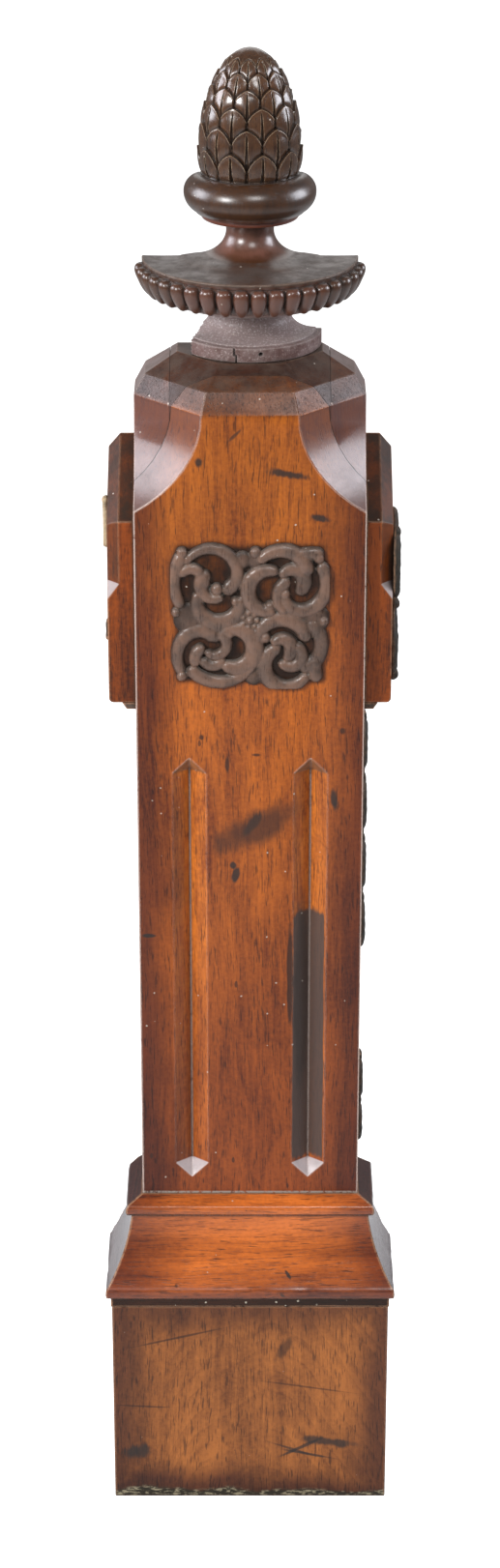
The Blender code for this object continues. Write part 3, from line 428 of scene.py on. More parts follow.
def walnut_material(name, along="Z", centre=(0.0, 0.05, 0.6), lean=0.08, ring=0.006,
                    light=(0.44, 0.115, 0.02), dark=(0.075, 0.015, 0.005), figure=0.2, fibre=0.7, cloud=0.6,
                    wear_and_highlight=0.8, wear_and_highlight_width=0.0022, wear_and_highlight_broken=0.36, worn_and_highlit_colour=(0.5, 0.26, 0.14),
                    upward=0.6, level=0.2, recess=0.5, depth=0.006, dust=(0.095, 0.066, 0.05),
                    recess_grime_and_shade=(0.02, 0.011, 0.008), specks=0.12, roughness=0.36, coat=0.5, coat_roughness=0.23,
                    bump=0.3, stains=(), shade=None, glued=False):
    """Grain, then shade, stains, edge wear with painted highlights, grime with painted shade in recesses,
    dust and specks, each laid over the last.
    """
    made = bpy.data.materials.new(name)
    made.use_nodes = True
    tree = made.node_tree
    shader = tree.nodes["Principled BSDF"]
    place = Signal(tree.nodes.new("ShaderNodeTexCoord").outputs["Object"])
    parts = place.split()
    swapped = {number: parts[source] for number, source in enumerate(ORDER[along])}
    turned = Signal(add_node(tree, "CombineXYZ", swapped).outputs[0])
    grain = place_group(walnut_group, Vector=turned, Centre=centre, Lean=lean, Ring_Width=ring,
                        Light=light, Dark=dark, Figure=figure, Fibre=fibre, Cloud=cloud)
    colour = grain["Color"]
    shine = 1.0
    if shade is not None:
        colour, shine = shade(place, colour)
    outer = parts[1] < FRONT + STAIN_DEPTH
    for x, z, half_width, half_height, turn, ragged, soft, strength, stain_colour, *square in stains:
        mask = place_group(stain_group, Vector=place, X=x, Z=z, Half_Width=half_width,
                           Half_Height=half_height, Turn=math.radians(turn), Ragged=ragged, Soft=soft,
                           Square=square[0] if square else 2.0)["Mask"]
        colour = tint(mask * (outer * strength), colour, stain_colour)
    edge_wear_and_highlight = place_group(edge_wear_and_highlight_group, Vector=place, Width=wear_and_highlight_width, Broken=wear_and_highlight_broken)
    edge_wear_and_highlight_mask = edge_wear_and_highlight["Mask"] * wear_and_highlight
    if glued:
        seam = place_group(seam_group, Vector=place)
        edge_wear_and_highlight_mask = edge_wear_and_highlight_mask * seam["Clear"]
        colour = tint(seam["Line"], colour, SEAM_COLOUR)
    # Wear and painted highlight: the arrises are painted pale.
    colour = tint(edge_wear_and_highlight_mask, colour, worn_and_highlit_colour)
    dust_and_recess_shade = place_group(dust_and_recess_shade_group, Vector=place, Upward=upward, Recess=recess, Level=level, Depth=depth)
    # Grime and painted shade darken corners and creases, then dust settles over the faces that look up.
    colour = tint(dust_and_recess_shade["Mask"], tint(dust_and_recess_shade["Recess"] * 0.88, colour, recess_grime_and_shade), dust)
    drawn_out = turned * (1.0, 1.0, 0.45)
    knots = place_group(specks_group, Vector=drawn_out, Spacing=0.016, Share=0.26, Size=0.075)
    colour = tint(knots["Mask"] * 0.7, colour, SEAM_COLOUR)
    spots = place_group(specks_group, Vector=place, Spacing=0.008, Share=specks, Size=0.085)
    colour = tint(spots["Mask"] * 0.75, colour, SPECK_COLOUR)
    gloss = grain["Tone"].span(0.0, 1.0, roughness + 0.07, roughness - 0.04)
    relief = add_node(tree, "Bump", {"Strength": bump, "Distance": GRAIN_DEPTH, "Height": grain["Height"]})
    if not glued:
        feed(relief.inputs["Normal"], edge_wear_and_highlight["Normal"])
    for label, value in {
        "Base Color": colour, "Roughness": (gloss + dust_and_recess_shade["Mask"] * 0.35).clamped(),
        "Coat Weight": (1.0 - dust_and_recess_shade["Mask"]) * coat * shine, "Coat Roughness": coat_roughness,
        "Specular IOR Level": 0.3, "Normal": Signal(relief.outputs["Normal"]),
    }.items():
        feed(shader.inputs[label], value)
    return made


# %% [markdown]
# ## Marks on the wood
#
# A mark is one row of a table: x, z, half width, half height, turn in degrees, raggedness, softness,
# strength and colour. A tenth number makes the mark squarer. The first row is the smear that fills the
# lower half of the right groove.

# %% Tables of stains
BLACK = (0.022, 0.018, 0.016)
BROWN = (0.035, 0.013, 0.007)
FRONT_STAINS = (
    (0.0537, 0.4915, 0.0142, 0.1285, 0, 0.06, 0.02, 0.93, (0.068, 0.046, 0.038), 40.0),
    (0.0470, 0.5300, 0.0070, 0.0950, 0, 0.3, 0.3, 0.7, (0.03, 0.02, 0.016)),
    (0.0369, 0.5567, 0.0031, 0.0551, 0, 0.5, 0.2, 0.9, BROWN),
    (0.0031, 0.7060, 0.0390, 0.0150, 25, 0.5, 0.45, 0.85, (0.06, 0.02, 0.01)),
    (0.0022, 0.7109, 0.0157, 0.0043, 52, 0.5, 0.4, 0.7, BLACK),
    (-0.0154, 0.6702, 0.0030, 0.0034, 0, 0.6, 0.3, 0.9, BLACK),
    (-0.0127, 0.6605, 0.0032, 0.0068, -15, 0.6, 0.3, 0.9, BLACK),
    (0.0753, 0.7349, 0.0035, 0.0115, 8, 0.6, 0.3, 0.9, BLACK),
    (-0.0446, 1.0558, 0.0036, 0.0040, 0, 0.9, 0.4, 0.9, BLACK),
    (0.0347, 1.0444, 0.0150, 0.0034, -10, 1.2, 0.4, 0.9, BLACK),
    (0.0600, 1.0045, 0.0075, 0.0028, -15, 1.1, 0.4, 0.9, BLACK),
    (-0.0130, 1.0800, 0.0080, 0.0013, 45, 1.2, 0.5, 0.7, BLACK),
    (-0.0925, 0.5985, 0.0062, 0.0020, 0, 0.5, 0.3, 0.9, BLACK),
    (-0.0436, 0.7966, 0.0026, 0.0030, 0, 0.6, 0.4, 0.85, BROWN),
    (-0.0204, 0.7691, 0.0018, 0.0076, 0, 0.7, 0.4, 0.85, BROWN),
    (0.0824, 0.8031, 0.0026, 0.0033, 0, 0.6, 0.4, 0.85, BROWN),
    (0.0056, 0.7796, 0.0043, 0.0015, 0, 0.6, 0.4, 0.8, BROWN),
)
PLINTH_STAINS = (
    (0.0790, 0.0640, 0.0240, 0.0045, -8, 0.9, 0.4, 0.85, BLACK),
    (0.0480, 0.0570, 0.0220, 0.0016, 28, 0.5, 0.4, 0.8, BLACK),
    (0.0560, 0.0500, 0.0250, 0.0013, -12, 0.5, 0.4, 0.8, BLACK),
    (0.0400, 0.0560, 0.0200, 0.0012, -20, 0.5, 0.4, 0.7, BLACK),
    (-0.1130, 0.0530, 0.0120, 0.0075, 10, 1.1, 0.4, 0.85, BLACK),
    (-0.0700, 0.1830, 0.0450, 0.0011, 14, 0.3, 0.4, 0.7, BROWN),
    (-0.1030, 0.1050, 0.0260, 0.0009, -3, 0.3, 0.4, 0.7, BROWN),
    (0.0500, 0.1280, 0.0420, 0.0010, -9, 0.4, 0.4, 0.6, BROWN),
    (0.0320, 0.1700, 0.0110, 0.0040, 60, 0.9, 0.5, 0.7, BROWN),
)
COVE_STAINS = (
    (0.0360, 0.2520, 0.0045, 0.0015, -55, 0.5, 0.3, 0.9, BLACK),
    (0.0310, 0.2340, 0.0030, 0.0016, -40, 0.6, 0.3, 0.8, BROWN),
    (-0.0700, 0.2430, 0.0016, 0.0016, 0, 0.5, 0.3, 0.7, BROWN),
)


# %% [markdown]
# ## Shades
#
# Some boards are darker towards their edges, feet and tops. A shade puts such places on a board by
# its own coordinates and by the way each face looks, and some shades also paint shade, shadow, sheen
# and light into the colour, as each one says. Most edges between two tones wander with a slow noise,
# because nothing on old wood ends in a straight line.

# %% Places that the shades refer to
DISC_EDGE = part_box("finial_foot")[0].z + 0.013
GROOVE_X = 0.0543
GROOVE_HALF = 0.0152
GROOVE_TOP = 0.8
BLOCK_STOP = 0.945
PANEL_CENTRE = EAVE - 0.1825
RING_FOOT = DISH_TOP + NECK_HEIGHT


# %% Shades of the shaft
def crown_shade(place, colour):
    """Above the eaves the wood is dark with pale flanks of dust and painted sheen, and the scoops below are
    dark red.
    """
    height = place.split()[2]
    face_x, face_y, face_z = surface_normal(place).split()
    crown = height.span(EAVE - 0.004, EAVE + 0.004)
    patch = noise(place, 24.0, 4.0, 0.6).span(0.35, 0.65, 0.75, 1.0)
    colour = darker(crown * patch, colour, (0.17, 0.17, 0.4))
    # The cap's pale flanks are grey dust and painted sheen.
    flank = abs(face_x).span(0.2, 0.4) * abs(face_y).span(0.25, 0.1) * crown * (face_z > 0.1)
    colour = tint(flank * patch * 0.6, colour, (0.36, 0.3, 0.29))
    scoop = abs(face_x).span(0.25, 0.45) * abs(face_y).span(0.25, 0.45)
    scoop = scoop * (height > EAVE - 0.12) * (height < EAVE - 0.0005)
    colour = tint(scoop * 0.72, colour, (0.1, 0.045, 0.04))
    scoop = scoop * height.span(EAVE - 0.118, EAVE - 0.08, 0.15, 1.0)
    return colour, (1.0 - crown * 0.75) * (scoop * 0.6 + 0.3)


def front_shade(place, colour):
    """Dark towards arrises and foot; painted shadow behind the panel; groove walls painted lighter by the way
    they face the light, painted sheen and shade on the stops, painted shade in the valleys.
    """
    x, y, z = place.split()
    face_x, _, face_z = surface_normal(place).split()
    wander = (noise(place, 9.0, 4.0, 0.6) - 0.5) * 0.06
    colour = darker((z + wander).span(0.8, 0.38), colour, (0.62, 0.54, 0.75))
    colour = darker((abs(x) + wander).span(0.054, 0.1), colour, (0.36, 0.29, 0.5))
    colour = darker(z.span(0.85, 1.0), colour, (0.88, 0.94, 1.0))
    colour, shine = crown_shade(place, colour)
    groove = abs(abs(x) - GROOVE_X).span(GROOVE_HALF + 0.0006, GROOVE_HALF - 0.0006) * (z < GROOVE_TOP)
    slanted = noise(place * (95.0, 95.0, 40.0) + place.scaled(30.0), 1.0, 3.0, 0.6)
    # Painted light: each groove wall is lightened by the way it faces, most the wall that faces left towards
    # the key lamp.
    colour = darker(groove * face_x.span(-0.15, -0.35), colour, (1.5, 1.7, 1.75))
    brighter = tint(slanted.span(0.4, 0.6, 0.25, 1.0), colour, (1.15, 1.35, 1.5), "MULTIPLY")
    colour = tint(groove * face_x.span(0.15, 0.35), colour, brighter)
    # Painted sheen on the stop facets that face up, painted shade on those that face down.
    colour = tint(groove * face_z.span(0.15, 0.35) * 0.85, colour, (0.62, 0.56, 0.58))
    colour = tint(groove * face_z.span(-0.15, -0.35) * 0.5, colour, (0.16, 0.12, 0.08))
    # Painted shade: a dark line along the valley of each groove.
    bottom = y.span(FRONT + 0.0108, FRONT + 0.0117) * groove * (y < FRONT + 0.013)
    colour = tint(bottom * 0.85, colour, (0.022, 0.008, 0.004))
    litter = noise(place, 210.0, 3.0, 0.7).span(0.4, 0.5, 0.2, 0.9)
    colour = tint(z.span(BEVEL_FOOT + 0.0205, BEVEL_FOOT + 0.0195) * litter, colour, (0.42, 0.36, 0.31))
    # Painted shadow: the board seen through the panel's openings is made near black and loses its polish.
    behind = abs(x).span(0.070, 0.062) * abs(z - PANEL_CENTRE).span(0.068, 0.06) * (y < FRONT + 0.001)
    painted_shadow = noise(place, 45.0, 3.0).span(0.4, 0.6, 0.78, 0.97)
    colour = tint(behind * painted_shadow, colour, (0.01, 0.004, 0.002))
    return colour, shine * (1.0 - behind)


# %% Shades of mouldings, plinth and blocks
def moulding_shade(place, colour):
    """Darker towards the mitres and the nose; painted shade makes the fillets and the undersides nearly
    black.
    """
    x, _, z = place.split()
    wander = (noise(place, 16.0, 4.0, 0.6) - 0.5) * 0.07
    aside = (abs(x) + wander).span(0.035, 0.13)
    nose = (z + wander * 0.3).span(COVE_FOOT + 0.046, COVE_FOOT + 0.01)
    colour = darker((aside * 0.9).larger(nose * 0.74), colour, (0.27, 0.2, 0.4))
    # Painted shade: the cove's fillet and the bevel moulding's underside are made nearly black and
    # unpolished.
    fillet = z.span(COVE_FOOT + 0.0102, COVE_FOOT + 0.0088)
    underside = (z > BEVEL_FOOT - 0.001) * (z < BEVEL_FOOT + 0.0032)
    colour = tint(fillet.larger(underside) * 0.9, colour, (0.012, 0.008, 0.005))
    debris = place_group(specks_group, Vector=place, Spacing=0.0042, Share=0.3, Size=0.2)["Mask"]
    return tint(debris * fillet, colour, (0.5, 0.45, 0.36)), 1.0 - fillet


def plinth_shade(place, colour):
    """The plinth is darker along its foot, its top and its arrises, with litter along the floor."""
    x, _, z = place.split()
    wander = (noise(place, 14.0, 4.0, 0.6) - 0.5) * 0.06
    low = (z + wander).span(0.05, 0.01)
    aside = (abs(x) + wander).span(0.078, 0.13)
    high = (z + wander).span(0.172, 0.215)
    colour = darker(low.larger(aside * 0.9).larger(high * 0.75), colour, (0.24, 0.2, 0.35))
    foot = (z + wander * 0.4).span(0.011, 0.006)
    debris = noise(place * (130.0, 130.0, 420.0), 1.0, 4.0, 0.65).span(0.5, 0.6)
    colour = tint(foot, colour, tint(debris, (0.03, 0.025, 0.016), (0.36, 0.31, 0.2)))
    return colour, 1.0 - foot


def block_shade(place, colour):
    """The sloping tops and the chamfers are dark, their stops carry a pale painted sheen, and debris sits
    beside the shaft.
    """
    x, _, z = place.split()
    face_x, face_y, face_z = surface_normal(place).split()
    slope = face_z.span(0.12, 0.3)
    chamfer = abs(face_x).span(0.3, 0.5) * abs(face_y).span(0.3, 0.5)
    dark = slope.larger(chamfer * 0.7) * noise(place, 40.0, 4.0, 0.65).span(0.3, 0.7, 1.0, 0.6)
    colour = tint(dark, colour, (0.03, 0.016, 0.01))
    # Painted sheen: pale facets where the chamfers stop below.
    colour = tint(slope * (z < BLOCK_STOP) * 0.8, colour, (0.45, 0.38, 0.38))
    debris = x.span(HALF + 0.0022, HALF + 0.0008) * (x > 0.0)
    debris = debris * noise(place, 260.0, 3.0, 0.7).span(0.42, 0.52)
    return tint(debris * 0.8, colour, (0.45, 0.36, 0.24)), 1.0 - dark


# %% Shades of the carving and the finial
def carving_shade(place, colour):
    """The raised tops are rubbed lighter; the ground between them is painted nearly black as shade."""
    raised = (FRONT - place.split()[1]).span(0.0022, 0.0062)
    patch = noise(place, 60.0, 4.0, 0.6).span(0.35, 0.65, 0.0, 0.6)
    # Painted shade: the ground between the ribs is made nearly black.
    colour = tint((1.0 - raised) * 0.85, colour, (0.022, 0.014, 0.011))
    return tint(raised * patch, colour, (0.25, 0.135, 0.09)), raised


def dish_shade(place, colour):
    """The beads, the neck, the ring and the joint under the dish show redder wood; the front beads are
    painted redder than the side ones as painted light.
    """
    x, _, z = place.split()
    bead = z.span(DISH_FOOT + 0.003, DISH_FOOT + 0.01) * z.span(DISH_TOP - 0.0015, DISH_TOP - 0.004)
    # Painted light: the beads that face the front are made redder than those at the sides.
    colour = tint(bead * abs(x).span(0.09, 0.03, 0.05, 0.5), colour, (0.16, 0.055, 0.034))
    neck = z.span(DISH_TOP + 0.002, DISH_TOP + 0.01) * z.span(RING_FOOT, RING_FOOT - 0.006)
    patch = noise(place, 60.0, 4.0, 0.65).span(0.35, 0.65, 0.45, 1.0)
    colour = tint(neck * patch, colour, (0.15, 0.062, 0.042))
    ring = z.span(RING_FOOT - 0.005, RING_FOOT) * z.span(RING_FOOT + 0.0075, RING_FOOT + 0.006)
    red = (ring + z.span(DISH_FOOT + 0.006, DISH_FOOT + 0.003)).clamped()
    return tint(red * 0.6, colour, (0.2, 0.04, 0.016)), 1.0


def disc_shade(place, colour):
    """The concave neck is dusty and pale, the rim below it is darker wood."""
    rim = place.split()[2].span(DISC_EDGE + 0.0006, DISC_EDGE - 0.0002)
    patch = noise(place, 90.0, 4.0, 0.65).span(0.35, 0.65, 0.55, 1.0)
    colour = tint(0.6, colour, (0.33, 0.262, 0.25))
    colour = tint(noise(place, 620.0).span(0.56, 0.64, 0.0, 0.6), colour, (0.62, 0.56, 0.54))
    return darker(rim * patch, colour, (0.38, 0.27, 0.25)), 1.0


# %% [markdown]
# ## Looks
#
# Each look names only what sets it apart from the plain recipe: the two tones of its grain, which way
# the grain runs, its polish and its marks. The boards of the shaft share the glued seams and the way
# their arrises are rubbed and painted with pale highlights.

# %% Looks
# The shaft's boards share pale arrises, which are wear and painted highlights.
BOARDS = dict(glued=True, coat=1.0, wear_and_highlight=1.0, wear_and_highlight_broken=0.27, worn_and_highlit_colour=(0.8, 0.64, 0.56))
front_look = walnut_material(
    "front board walnut", centre=(0.012, 0.075, 0.9), lean=-0.06, light=(0.6, 0.148, 0.012),
    dark=(0.15, 0.026, 0.004), figure=0.26, ring=0.0042, fibre=0.85, cloud=0.55,
    shade=front_shade, stains=FRONT_STAINS, **BOARDS)
side_look = walnut_material(
    "side board walnut", centre=(0.05, 0.2, 0.4), light=(0.34, 0.085, 0.012), shade=crown_shade, **BOARDS)
cap_look = walnut_material(
    "cap walnut", along="X", centre=(0.1, 1.3, 0.0), light=(0.17, 0.045, 0.01), glued=True, shade=crown_shade)
plinth_look = walnut_material(
    "plinth walnut", centre=(0.02, 0.1, 0.1), light=(0.48, 0.155, 0.03), dark=(0.15, 0.043, 0.01),
    figure=0.3, cloud=0.55, fibre=0.9, ring=0.007, lean=0.3, roughness=0.42, coat=0.3,
    shade=plinth_shade, stains=PLINTH_STAINS)
moulding_look = walnut_material(
    "front moulding walnut", along="X", centre=(0.1, 0.5, 0.0), light=(0.74, 0.18, 0.026),
    dark=(0.18, 0.032, 0.006), roughness=0.28, coat=0.9, upward=0.0, figure=0.22, ring=0.005, fibre=0.8,
    cloud=0.9, shade=moulding_shade, stains=COVE_STAINS)
side_moulding_look = walnut_material(
    "side moulding walnut", along="Y", centre=(0.1, 0.5, 0.0), light=(0.2, 0.08, 0.045),
    dark=(0.05, 0.016, 0.01), roughness=0.3, coat=1.0, upward=0.0, shade=moulding_shade)
block_look = walnut_material(
    "block walnut", centre=(0.2, 0.1, 0.8), light=(0.31, 0.062, 0.004), dark=(0.06, 0.011, 0.002), fibre=1.1,
    cloud=1.0, roughness=0.48, coat=0.2, upward=0.2, dust=(0.035, 0.022, 0.015), shade=block_shade)
carving_look = walnut_material(
    "carving walnut", light=(0.16, 0.1, 0.075), dark=(0.07, 0.045, 0.035), roughness=0.42, coat=0.4,
    recess_grime_and_shade=(0.006, 0.004, 0.003), depth=0.003, recess=0.66, upward=0.3, dust=(0.3, 0.27, 0.24),
    wear_and_highlight_width=0.0012, specks=0.3, shade=carving_shade)
dark_carving_look = walnut_material(
    "blackened carving", light=(0.035, 0.033, 0.026), dark=(0.012, 0.011, 0.009), roughness=0.6, coat=0,
    specks=0.25)
strip_look = walnut_material(
    "dusty strip", along="Y", light=(0.14, 0.1, 0.08), dark=(0.06, 0.04, 0.03), roughness=0.7, coat=0)
cone_look = walnut_material(
    "cone walnut", light=(0.11, 0.047, 0.02), dark=(0.012, 0.005, 0.003), roughness=0.26, coat=1.0,
    coat_roughness=0.19, upward=0.0, wear_and_highlight_width=0.0009, worn_and_highlit_colour=(0.42, 0.29, 0.18), wear_and_highlight=0.9,
    recess_grime_and_shade=(0.004, 0.002, 0.001), depth=0.004, specks=0.3)
dish_look = walnut_material(
    "dish walnut", light=(0.07, 0.025, 0.007), dark=(0.018, 0.007, 0.003), roughness=0.32, coat=1.0,
    coat_roughness=0.28, upward=0.85, level=0.95, dust=(0.07, 0.055, 0.048), worn_and_highlit_colour=(0.27, 0.2, 0.16), wear_and_highlight=0.6,
    recess_grime_and_shade=(0.006, 0.003, 0.002), specks=0.35, shade=dish_shade)
disc_look = walnut_material(
    "disc walnut", light=(0.3, 0.205, 0.2), dark=(0.11, 0.068, 0.062), roughness=0.5, coat=0.1, specks=0.95,
    upward=0.3, dust=(0.2, 0.17, 0.16), fibre=1.0, cloud=1.0, worn_and_highlit_colour=(0.33, 0.27, 0.25), wear_and_highlight=0.5,
    shade=disc_shade)
splinter_look = walnut_material(
    "bare splinters", light=(0.5, 0.4, 0.25), dark=(0.3, 0.22, 0.14), roughness=0.7, coat=0)

for node in ("left_block_strip", "right_block_strip"):
    nodes[node].data.materials.clear()
    nodes[node].data.materials.append(strip_look)
print("looks:", [material.name for material in bpy.data.materials])

# %% [markdown]
# ## Surfaces from arrays
#
# The finer pieces are grids of points, worked out as whole arrays: one index runs across the surface
# and the other along it. A grid could also be pulled into shape with modifiers or a sculpting brush,
# but a formula says what the carver did and gives the same shape at any fineness.


# %% Grid helpers
def grid_faces(rows, columns, wrap=False):
    """Quads between neighbouring rows and columns; wrap joins the last column to the first."""
    row = np.arange(rows - 1)[:, None] * columns
    column = np.arange(columns if wrap else columns - 1)[None, :]
    after = (column + 1) % columns
    quads = np.stack([row + column, row + after, row + columns + after, row + columns + column], -1)
    return quads.reshape(-1, 4).tolist()


def ripple(points, wavelength, seed):
    """Smooth unevenness between about -1 and 1: five sine waves from fixed directions."""
    turn = seed * 1.7 + np.arange(5)[:, None] * np.array([2.1, 3.3, 4.9])
    direction = np.sin(turn)
    direction /= np.linalg.norm(direction, axis=1, keepdims=True)
    pace = 2 * np.pi / wavelength * np.array([1.0, 0.8, 1.3, 0.6, 1.7])
    waves = np.tensordot(points, direction.T, axes=1) * pace
    return np.sin(waves + np.arange(5) * 1.9 + seed).mean(-1) * 1.6


def dressed(mesh, look, smooth=180.0):
    """Give a mesh its one material and smooth shading up to an angle in degrees."""
    mesh.materials.clear()
    mesh.materials.append(look)
    mesh.shade_smooth()
    if smooth < 180.0:
        mesh.set_sharp_from_angle(angle=math.radians(smooth))


def surface(name, points, faces, look, smooth=35.0):
    """A closed mesh: doubled points merged, faces turned outwards, smooth up to an angle in degrees."""
    mesh = bpy.data.meshes.new(name)
    mesh.from_pydata(np.asarray(points, float).reshape(-1, 3).tolist(), [], faces)
    shape = bmesh.new()
    shape.from_mesh(mesh)
    bmesh.ops.remove_doubles(shape, verts=shape.verts, dist=2e-6)
    bmesh.ops.dissolve_degenerate(shape, edges=shape.edges, dist=1e-6)
    bmesh.ops.recalc_face_normals(shape, faces=shape.faces)
    shape.to_mesh(mesh)
    shape.free()
    dressed(mesh, look, smooth)
    return put(name, mesh)


def stand_for(piece, slot, *replaced):
    """The piece rides on the post and stands for the nodes that it replaces; the slot is not used."""
    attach(piece, "root")
    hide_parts(*replaced)
    piece.data.calc_loop_triangles()
    print(piece.name, "has", len(piece.data.loop_triangles), "triangles")


# %% [markdown]
# ## Boards with soft arrises
#
# The shaft, the head and the blocks have the right shape already, but every real arris is rounded by
# planing and wear. Their solids are copied, their loose triangles joined into whole faces, and a
# Bevel modifier rounds each corner. The scoops then shade as one smooth curve.


# %% Softened boards
DOUBLED = 2e-6
JOINT_REACH = 0.0005
HEAD_FOOT = EAVE - 0.061
FLAT_ANGLE = math.radians(0.4)
ARRIS_ANGLE = math.radians(14)


def is_joint(ends):
    """Whether an edge lies in a glued joint: both ends in the plane behind the front or beside the head."""
    behind = all(abs(end.y - JOINT_BEHIND_FRONT) < JOINT_REACH for end in ends)
    beside = all(abs(abs(end.x) - JOINT_BESIDE_HEAD) < JOINT_REACH and end.z > HEAD_FOOT for end in ends)
    return behind or beside


def softened(node, name, look, slot, width):
    """A copy of a solid: flat triangles joined, every arris but the glued ones rounded by the width."""
    shape = bmesh.new()
    shape.from_mesh(nodes[node].data)
    bmesh.ops.remove_doubles(shape, verts=shape.verts, dist=DOUBLED)
    bmesh.ops.dissolve_limit(shape, angle_limit=FLAT_ANGLE, verts=shape.verts, edges=shape.edges)
    weight = shape.edges.layers.float.new("bevel_weight_edge")
    for edge in shape.edges:
        sharp = edge.calc_face_angle(0.0) > ARRIS_ANGLE
        edge[weight] = float(sharp and not is_joint([vertex.co for vertex in edge.verts]))
    mesh = bpy.data.meshes.new(name)
    shape.to_mesh(mesh)
    shape.free()
    dressed(mesh, look, 30.0)
    made = put(name, mesh)
    rounding = made.modifiers.new("arris", "BEVEL")
    rounding.width = width
    rounding.segments = 2
    rounding.limit_method = "WEIGHT"
    rounding.harden_normals = True
    stand_for(made, slot, node)


for node, name, look, slot, width in (
    ("shaft_front_board", "front_board", front_look, "shaft_walnut", 0.0009),
    ("shaft_left_board", "left_board", side_look, "shaft_walnut", 0.0009),
    ("shaft_right_board", "right_board", side_look, "shaft_walnut", 0.0009),
    ("cap_block", "head_block", cap_look, "shaft_walnut", 0.0006),
    ("left_block", "block_on_the_left", block_look, "block_walnut", 0.0008),
    ("right_block", "block_on_the_right", block_look, "block_walnut", 0.0008),
    *(("plinth_" + side, "plinth_board_" + side, plinth_look, "plinth_walnut", 0.0014)
      for side in ("front", "left", "right")),
):
    softened(node, name, look, slot, width)

# %% [markdown]
# ## Mouldings
#
# A moulding is one section carried along a straight line and cut at 45 degrees at each front corner.
# Towards the back the side lengths were broken off, so their far ends are ragged: every point of the
# section stops at its own place. The nose is dented here and there, as skirting is.

# %% Sections of the two mouldings
COVE_RISE = 0.0889
COVE_NOSE = 0.0355
COVE_TOP = 0.0105
COVE_SAG = 0.0039
FILLET_RISE = 0.009
FILLET_OUT = 0.0308
NOSE_RISE = 0.0125
BEVEL_RISE = 0.0178
BEVEL_NOSE = 0.0158
BEVEL_FALL = 0.006
SIDE_DEPTH = 0.073
SECTION_PITCH = 0.004
TEAR_DEPTH = 0.009
DENT_DEPTH = 0.0011


def resampled(outline, pitch):
    """A polyline with extra points, so that no step is longer than the pitch."""
    outline = np.asarray(outline, float)
    pieces = [outline[:1]]
    for start, end in zip(outline[:-1], outline[1:]):
        count = max(1, int(np.ceil(np.linalg.norm(end - start) / pitch)))
        pieces.append(start + (end - start) * (np.arange(1, count + 1) / count)[:, None])
    return np.concatenate(pieces)


def cove_section():
    """Fillet, rounded nose, then a hollow: a straight slope pressed in by 4·sag·share·(1−share)."""
    nose_foot = FILLET_RISE + 0.12 * NOSE_RISE
    nose_top = FILLET_RISE + NOSE_RISE
    middle = (nose_foot + nose_top) / 2
    turn = np.linspace(-1.35, 1.35, 9)
    round_out = COVE_NOSE - 0.0022 * (1 - np.cos(turn))
    nose = np.stack([round_out, middle + (nose_top - nose_foot) / 2 * np.sin(turn)], 1)
    share = np.linspace(0, 1, 25)[1:, None]
    low = nose[-1]
    high = np.array([COVE_TOP, COVE_RISE])
    inward = np.array([-(high - low)[1], (high - low)[0]]) / np.linalg.norm(high - low)
    hollow = low + (high - low) * share + inward * COVE_SAG * 4 * share * (1 - share)
    start = np.array([[GAP, 0], [FILLET_OUT, 0], [FILLET_OUT, FILLET_RISE]])
    return np.concatenate([start, nose, hollow, [[GAP, COVE_RISE]]])


def bevel_section():
    """Flat underside, half-round nose and a top that falls outwards."""
    shoulder = BEVEL_RISE - BEVEL_FALL
    turn = np.linspace(-1.15, 1.15, 11)
    out = BEVEL_NOSE * (0.8 + 0.2 * np.cos(turn))
    up = shoulder * (0.55 + 0.4675 * np.sin(turn))
    nose = np.stack([out, up], 1)
    top = [[0.84 * BEVEL_NOSE, shoulder], [GAP, BEVEL_RISE]]
    return np.concatenate([[[GAP, 0], [0.76 * BEVEL_NOSE, 0]], nose, top])


def carried(name, section, foot, side, look, node, steps=60):
    """The section swept from a mitre: place = start + (end − start)·share, dented at the nose."""
    section = resampled(section, SECTION_PITCH)
    out, up = section[:, 0], section[:, 1]
    share = np.linspace(0, 1, steps + 1)[:, None]
    if side == 0:
        x = (HALF + out)[None, :] * (2 * share - 1)
        y = np.broadcast_to(FRONT - out, x.shape)
    else:
        start = FRONT - out + GAP * math.sqrt(2)
        lengths = np.stack([out, up, np.zeros_like(out)], 1)
        torn = 0.0035 + 0.0035 * ripple(lengths, 0.02, 3.0 + side)
        torn += 0.001 * ripple(lengths, 0.004, 5.0 + side)
        end = FRONT + SIDE_DEPTH - np.clip(torn, 0.0, TEAR_DEPTH)
        y = start + (end - start) * share
        x = np.broadcast_to(side * (HALF + out), y.shape)
    points = np.stack([x, y, np.broadcast_to(foot + up, x.shape)], -1)
    proud = np.clip((out - 0.45 * out.max()) / (0.55 * out.max()), 0, 1) ** 2
    dent = np.clip(ripple(points, 0.045, 2.0) - 0.35, 0, 1) * DENT_DEPTH * proud
    inward = np.array([0.0, 1.0, 0.0]) if side == 0 else np.array([-float(side), 0.0, 0.0])
    points = points + dent[..., None] * inward
    count = points.shape[1]
    last = steps * count
    faces = grid_faces(steps + 1, count, wrap=True)
    faces += [list(range(count)), list(range(last, last + count))]
    stand_for(surface(name, points, faces, look), "moulding_walnut", node)


for kind, section, foot in (("cove", cove_section(), COVE_FOOT), ("bevel", bevel_section(), BEVEL_FOOT)):
    for side, word in ((0, "front"), (-1, "left"), (1, "right")):
        look = side_moulding_look if side else moulding_look
        carried(f"{kind}_{word}", section, foot, side, look, f"{kind}_moulding_{word}")

